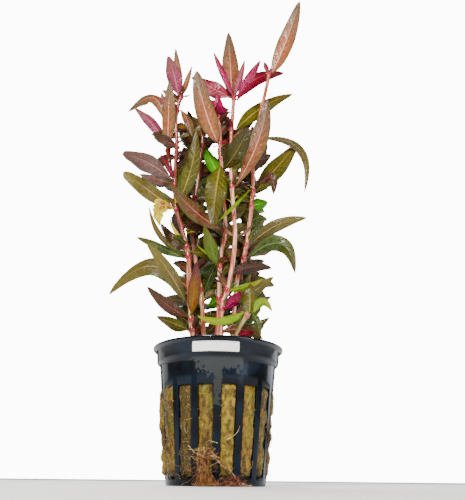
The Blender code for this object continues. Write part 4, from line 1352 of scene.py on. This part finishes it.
def wool_radius(angle, z):
    """Outer radius of the plug: inside the ribs, and swollen in the slots."""
    inner = body_radius(z) - WALL - WOOL_GAP
    slot = angle / (2 * math.pi) * SLOT_COUNT
    number = int(slot) % SLOT_COUNT
    off = abs(slot - int(slot) - 0.5) * 2 * math.pi / SLOT_COUNT / (SLOT_ANGLE / 2)
    rise = (z - SLOT_BOTTOM_Z) / (SLOT_TOP_Z - SLOT_BOTTOM_Z)
    lump = noise.fractal(Vector(polar(5, angle, z * 0.28)), 1.0, 2.2, 5)
    fine = noise.noise(Vector(polar(30, angle, z * 1.3)))
    if not 0 < rise < 1 or off >= 1:
        return inner + 0.1 * lump
    ends = min(1.0, rise / 0.06, (1 - rise) / 0.06)
    cushion = max(0.0, 1 - off ** 5) ** 0.5 * math.sin(math.pi / 2 * ends) ** 0.6
    proud = WALL + WOOL_GAP + 0.55 * slot_swell[number]
    return inner + cushion * (proud - 0.35 + 0.75 * lump + 0.22 * fine)


def build_wool():
    """The plug as rings of points, up its side and then inwards over its top."""
    levels = [FLOOR + 0.3] + [SLOT_BOTTOM_Z + 0.1 + i * 0.5 for i in range(60)]
    levels += [SLOT_TOP_Z + 0.5, 37.0, 41.0, WOOL_RIM_Z]
    angles = [2 * math.pi * k / WOOL_STEPS for k in range(WOOL_STEPS)]
    points = [polar(wool_radius(angle, z), angle, z) for z in levels for angle in angles]
    for share in (0.97, 0.85, 0.7, 0.52, 0.34, 0.16):
        for angle in angles:
            x, y, _ = polar(share * wool_radius(angle, WOOL_RIM_Z), angle, WOOL_RIM_Z)
            bumps = noise.fractal(Vector((x * 0.4, y * 0.4, 7.0)), 1.0, 2.0, 4)
            points.append((x, y, min(WOOL_TOP_Z, 43.3 + 0.5 * bumps)))
    rings = len(points) // WOOL_STEPS
    faces = ring_faces(rings, WOOL_STEPS)
    faces.append(tuple(range(WOOL_STEPS))[::-1])
    faces.append(tuple((rings - 1) * WOOL_STEPS + k for k in range(WOOL_STEPS)))
    tone = np.array([slot_tone[k * SLOT_COUNT // WOOL_STEPS] for k in range(WOOL_STEPS)] * rings)
    return joined_mesh("rock_wool_plug", [{"points": points, "faces": faces, "tone": tone}])


# %% Loose fibres on the wool
# How many there are to a square millimetre, their length, and their radius as a part of it
FIBRE_DENSITY = 0.17
FIBRE_LENGTH = 3.2
FIBRE_RADIUS = 0.015


def fibre_tree():
    """Short bent fibres scattered on the faces of the mesh that goes in, joined to it."""
    tree, given, out = node_group("loose_fibres", (
        ("Density", "NodeSocketFloat"), ("Length", "NodeSocketFloat"),
        ("Thickness", "NodeSocketFloat"), ("Finish", "NodeSocketMaterial")))
    spots = add(tree, "GeometryNodeDistributePointsOnFaces", {
        "Mesh": given.outputs["Geometry"], "Density": given.outputs["Density"], "Seed": 5})
    arc = add(tree, "GeometryNodeCurveQuadraticBezier", {
        "Resolution": 4, "Start": (-0.5, 0, -0.05), "Middle": (0, 0.16, 0.3), "End": (0.5, -0.1, -0.02)})
    round_wire = add(tree, "GeometryNodeCurvePrimitiveCircle", {
        "Resolution": 4, "Radius": given.outputs["Thickness"]})
    fibre = add(tree, "GeometryNodeCurveToMesh", {
        "Curve": arc, "Profile Curve": round_wire, "Fill Caps": True})
    turn = add(tree, "FunctionNodeRandomValue", {"Min": (0, 0, -3.1), "Max": (0.3, 0.3, 3.1), "Seed": 9},
               data_type="FLOAT_VECTOR")
    facing = add(tree, "FunctionNodeRotateEuler", {
        "Rotation": spots.outputs["Rotation"], "Rotate By": turn}, rotation_type="EULER", space="LOCAL")
    longer = add(tree, "FunctionNodeRandomValue", {2: 0.4, 3: 1.3, "Seed": 2}, data_type="FLOAT")
    size = add(tree, "ShaderNodeMath", [longer, given.outputs["Length"]], operation="MULTIPLY")
    many = add(tree, "GeometryNodeInstanceOnPoints", {
        "Points": spots, "Instance": fibre, "Rotation": facing, "Scale": size})
    real = add(tree, "GeometryNodeRealizeInstances", [many])
    painted = add(tree, "GeometryNodeSetMaterial", {"Geometry": real, "Material": given.outputs["Finish"]})
    joined = add(tree, "GeometryNodeJoinGeometry", [painted])
    tree.links.new(given.outputs["Geometry"], joined.inputs[0])
    tree.links.new(joined.outputs[0], out.inputs[0])
    return tree


wool_mesh = build_wool()
wool_mesh.materials.append(rock_wool)
wool_blank = placed("wool_blank", wool_mesh)
hairy = wool_blank.modifiers.new("Fibres", "NODES")
hairy.node_group = fibre_tree()
set_inputs(hairy, {"Density": FIBRE_DENSITY / MM ** 2, "Length": FIBRE_LENGTH * MM,
                   "Thickness": FIBRE_RADIUS, "Finish": wool_fibre})
wool = hand_over("rock_wool_plug", plain_mesh(wool_blank), [rock_wool, wool_fibre], "rockwool")
print("wool faces:", len(wool.data.polygons))

# %% [markdown]
# ## The roots
#
# Fine roots have grown out through the slots. One tuft hangs down the middle rib like a wisp of
# hair, one thicker root runs down to the right and lies on the floor, and a red tangle lies
# beside it. Each is a bundle of thin tubes that follows the route of its solid. A few pale
# roots cross the ribs.

# %% Roots
# The tuft hangs round this x, and the other two bundles follow the middle lines of their solids
TUFT_X = -4.2
LONG_ROUTE = ((-1.6, -20.3, 10.0), (1.2, -20.9, 7.6), (4.6, -20.9, 4.6), (7.6, -20.2, 1.6),
              (9.6, -20.6, 0.5), (11.8, -22.4, 0.4))
TANGLE_ROUTE = ((0.6, -21.0, 0.9), (2.6, -23.2, 1.0), (5.4, -23.9, 1.0), (8.2, -23.4, 0.8),
                (10.2, -25.2, 0.5))
# How many roots of each kind there are
FALLING, CROSSING, CURLY, LINKING = 110, 24, 17, 7
ROOT_SEED = 17


def strand(points, thickness, luck, stray, kind):
    """A thin root through the points, with small wanderings, never below the floor."""
    path = smooth_route(points, 0.6)
    drift = Vector([luck.uniform(0, 50) for _ in range(3)])
    for i, spot in enumerate(path):
        spot += stray * np.array(noise.noise_vector(drift + Vector((i * 0.16, 0, 0))))
        spot[2] = max(spot[2], thickness + 0.02)
    fade = np.linspace(1, 0.45, len(path))
    return tube_chunk(path, thickness * fade, 5, kind=kind)


def on_wall(x, z, proud):
    """The point this far in front of the pot's wall."""
    reach = body_radius(z) + proud
    return (x, -math.sqrt(reach ** 2 - x ** 2), z)


def falling_root(luck):
    """A hair of the tuft: out of the wool, down the rib, over the foot and onto the floor."""
    x = luck.gauss(TUFT_X, 0.8)
    proud = luck.uniform(0.2, 2.6)
    painted_foot_shade = (x + luck.gauss(0.5, 1.3), -21.3 - proud * 0.9, luck.uniform(0.8, 2.2))
    end = (painted_foot_shade[0] + luck.gauss(0.5, 1.1), painted_foot_shade[1] - luck.uniform(1.0, 4.2), luck.uniform(0.15, 0.7))
    line = [on_wall(x + luck.gauss(0.6, 1.7), luck.uniform(8.6, 12.2), 0.1),
            on_wall(x + luck.gauss(0.3, 0.8), luck.uniform(7.6, 9.2), 0.4 + 0.5 * proud),
            on_wall(x, 5.0, 0.6 + proud), painted_foot_shade, end]
    return strand(line, luck.uniform(0.07, 0.13), luck, 0.4, luck.choice((0, 0, 0, 0, 0, 0, 1, 1, 2)))


def crossing_root(luck):
    """A hair that runs sideways over the ribs, near the tuft."""
    x, z = luck.uniform(-15, 0), luck.uniform(3.5, 11.0)
    slope = luck.uniform(-1.2, 1.2)
    line = [on_wall(x + step * luck.uniform(1.0, 1.8), z + slope * step * 0.8, 0.9 + 0.5 * (step % 2))
            for step in range(4)]
    return strand(line, luck.uniform(0.045, 0.075), luck, 1.1, luck.choice((0, 0, 2)))


def curly_root(luck):
    """A red root that curls in open loops beside the route of the tangle."""
    last_number = len(TANGLE_ROUTE) - 1
    first = luck.uniform(0, 0.75)
    last = min(1.0, first + luck.uniform(0.15, 0.4))
    phase, loops, size = luck.uniform(0, 6.28), luck.uniform(0.8, 2.2), luck.uniform(0.7, 1.6)
    aside, rise = luck.uniform(-1.6, 0.8), luck.uniform(0.2, 1.6)
    line = []
    for share in np.linspace(first, last, 14):
        centre = [float(np.interp(share * last_number, range(last_number + 1), axis))
                  for axis in zip(*TANGLE_ROUTE)]
        turn = phase + loops * 2 * math.pi * (share - first) / (last - first)
        line.append((centre[0] + size * math.cos(turn), centre[1] + aside + 0.8 * size * math.sin(turn),
                     0.2 + rise * (1 + math.sin(turn * 1.3 + phase))))
    return strand(line, luck.uniform(0.07, 0.14), luck, 0.5, luck.choice((1, 1, 1, 1, 0)))


def linking_root(luck):
    """A root that leaves the foot of the tuft and runs into the tangle."""
    x = luck.uniform(-2.5, 0.5)
    line = [(x, luck.uniform(-22.5, -21.5), luck.uniform(1.5, 3.5)), (x + 1.5, -23.2, luck.uniform(0.8, 2.0)),
            (x + 3.5, luck.uniform(-24.5, -22.5), luck.uniform(0.3, 1.2)), (x + luck.uniform(5, 8), -24, 0.4)]
    return strand(line, luck.uniform(0.08, 0.14), luck, 0.7, luck.choice((0, 1, 1)))


root_luck = random.Random(ROOT_SEED)
# A root's kind is its place in this list
root_finishes = [root_amber, root_red, root_pale]
tuft = [falling_root(root_luck) for _ in range(FALLING)]
tuft += [crossing_root(root_luck) for _ in range(CROSSING)]
# Single roots that stand out in the photograph
tuft += [strand(line, 0.13, root_luck, 0.3, finish) for finish, line in (
    (2, ((-9.5, -19.3, 12.5), (-7.5, -19.9, 10.6), (-5.4, -20.4, 9.6), (-3.6, -20.9, 9.2))),
    (0, ((-8.2, -19.4, 9.4), (-6.0, -20.3, 9.9), (-3.4, -21.0, 9.6), (-0.6, -20.8, 10.0))),
    (0, ((-5.0, -20.9, 9.2), (-2.6, -21.6, 8.6), (-0.2, -21.4, 8.4), (1.2, -20.9, 9.0))),
    (2, ((-2.0, -20.9, 9.2), (0.2, -20.9, 9.0), (1.8, -20.7, 8.2))),
    (0, ((-7.4, -19.4, 7.6), (-5.6, -20.6, 8.6), (-3.8, -21.3, 8.8), (-1.8, -21.0, 9.4))),
    (2, ((0.4, -20.3, 13.4), (-1.0, -20.5, 13.7), (-2.6, -20.2, 13.9))),
    (2, ((3.2, -20.2, 14.2), (5.2, -20.0, 15.4), (7.0, -19.4, 16.8), (7.8, -19.2, 18.6))),
    (0, ((9.4, -18.8, 11.0), (8.4, -19.2, 8.6), (8.6, -18.8, 6.4), (8.0, -18.9, 4.4))))]
hand_over("roots_tuft", joined_mesh("roots_tuft", tuft), root_finishes, "root_tuft")

# %% Long root and tangle
long_root = [strand(LONG_ROUTE, 0.3, root_luck, 0.15, 0)]
for _ in range(5):
    beside = [np.array(point) + [root_luck.gauss(0, 0.3) for _ in range(3)] for point in LONG_ROUTE]
    long_root.append(strand(beside, 0.09, root_luck, 0.6, root_luck.choice((0, 2))))
hand_over("root_long_runner", joined_mesh("root_long_runner", long_root), root_finishes, "root_long")
tangle = [curly_root(root_luck) for _ in range(CURLY)] + [linking_root(root_luck) for _ in range(LINKING)]
hand_over("roots_tangle", joined_mesh("roots_tangle", tangle), root_finishes, "root_tangle")

# %% [markdown]
# ## Floor and light
#
# The photograph is bright and almost free of shadow: white all round, with a soft light from
# above and in front. A dim white world fills the shadows. The key and fill lamps shape the
# leaves, a small lamp makes glints in the water on them, two lamps at the sides give the glossy
# pot its pale edges, and one behind lights the plant's back. A pale floor takes a faint shadow.

# %% Floor
# The floor lies this far under the pot, in millimetres, so that the two faces don't share a plane
FLOOR_GAP = 0.02
floor_mesh = bpy.data.meshes.new("floor")
floor_mesh.from_pydata([(-3, -3, 0), (3, -3, 0), (3, 3, 0), (-3, 3, 0)], [], [(0, 1, 2, 3)])
floor = placed("floor", floor_mesh)
floor.location.z = -FLOOR_GAP * MM
floor_mesh.materials.append(floor_board)

# %% Light
WORLD_LIGHT = 0.17
BACKDROP_LIGHT = 12.0


def soft_lamp(name, place, target, size, watts, colour):
    """A square lamp that points at its target. The camera doesn't see it."""
    lamp = placed(name, bpy.data.lights.new(name, "AREA"))
    lamp.data.size = size
    lamp.data.energy = watts
    lamp.data.color = linear(colour)[:3]
    lamp.location = place
    lamp.rotation_euler = (Vector(target) - Vector(place)).to_track_quat("-Z", "Y").to_euler()
    lamp.visible_camera = False


def white_room():
    """A white world: dim as a light, and bright as the backdrop that the camera sees."""
    world = bpy.data.worlds.new("white_room")
    bpy.context.scene.world = world
    world.use_nodes = True
    tree = world.node_tree
    light = tree.nodes["Background"]
    light.inputs["Color"].default_value = linear("#FFFFFF")
    light.inputs["Strength"].default_value = WORLD_LIGHT
    backdrop = add(tree, "ShaderNodeBackground", {"Color": "#FFFFFF", "Strength": BACKDROP_LIGHT})
    seen = add(tree, "ShaderNodeLightPath").outputs["Is Camera Ray"]
    both = add(tree, "ShaderNodeMixShader", [seen, light, backdrop])
    tree.links.new(both.outputs[0], tree.nodes["World Output"].inputs["Surface"])


white_room()
soft_lamp("key", (-0.18, -0.45, 0.5), (0, 0, 0.12), 0.14, 5.0, "#FFF8F0")
soft_lamp("fill", (0.4, -0.38, 0.16), (0, 0, 0.1), 0.25, 1.5, "#F4F6FF")
soft_lamp("glint", (-0.1, -0.4, 0.25), (0, 0, 0.12), 0.02, 0.7, "#FFFFFF")
soft_lamp("left edge", (-0.44, 0.36, 0.18), (0, 0, 0.06), 0.3, 0.4, "#FFFFFF")
soft_lamp("right edge", (0.44, 0.36, 0.18), (0, 0, 0.06), 0.3, 0.7, "#F4F8FF")
soft_lamp("back", (-0.1, 0.42, 0.5), (0, 0, 0.13), 0.3, 4.0, "#FFFFFF")

# %% Finish
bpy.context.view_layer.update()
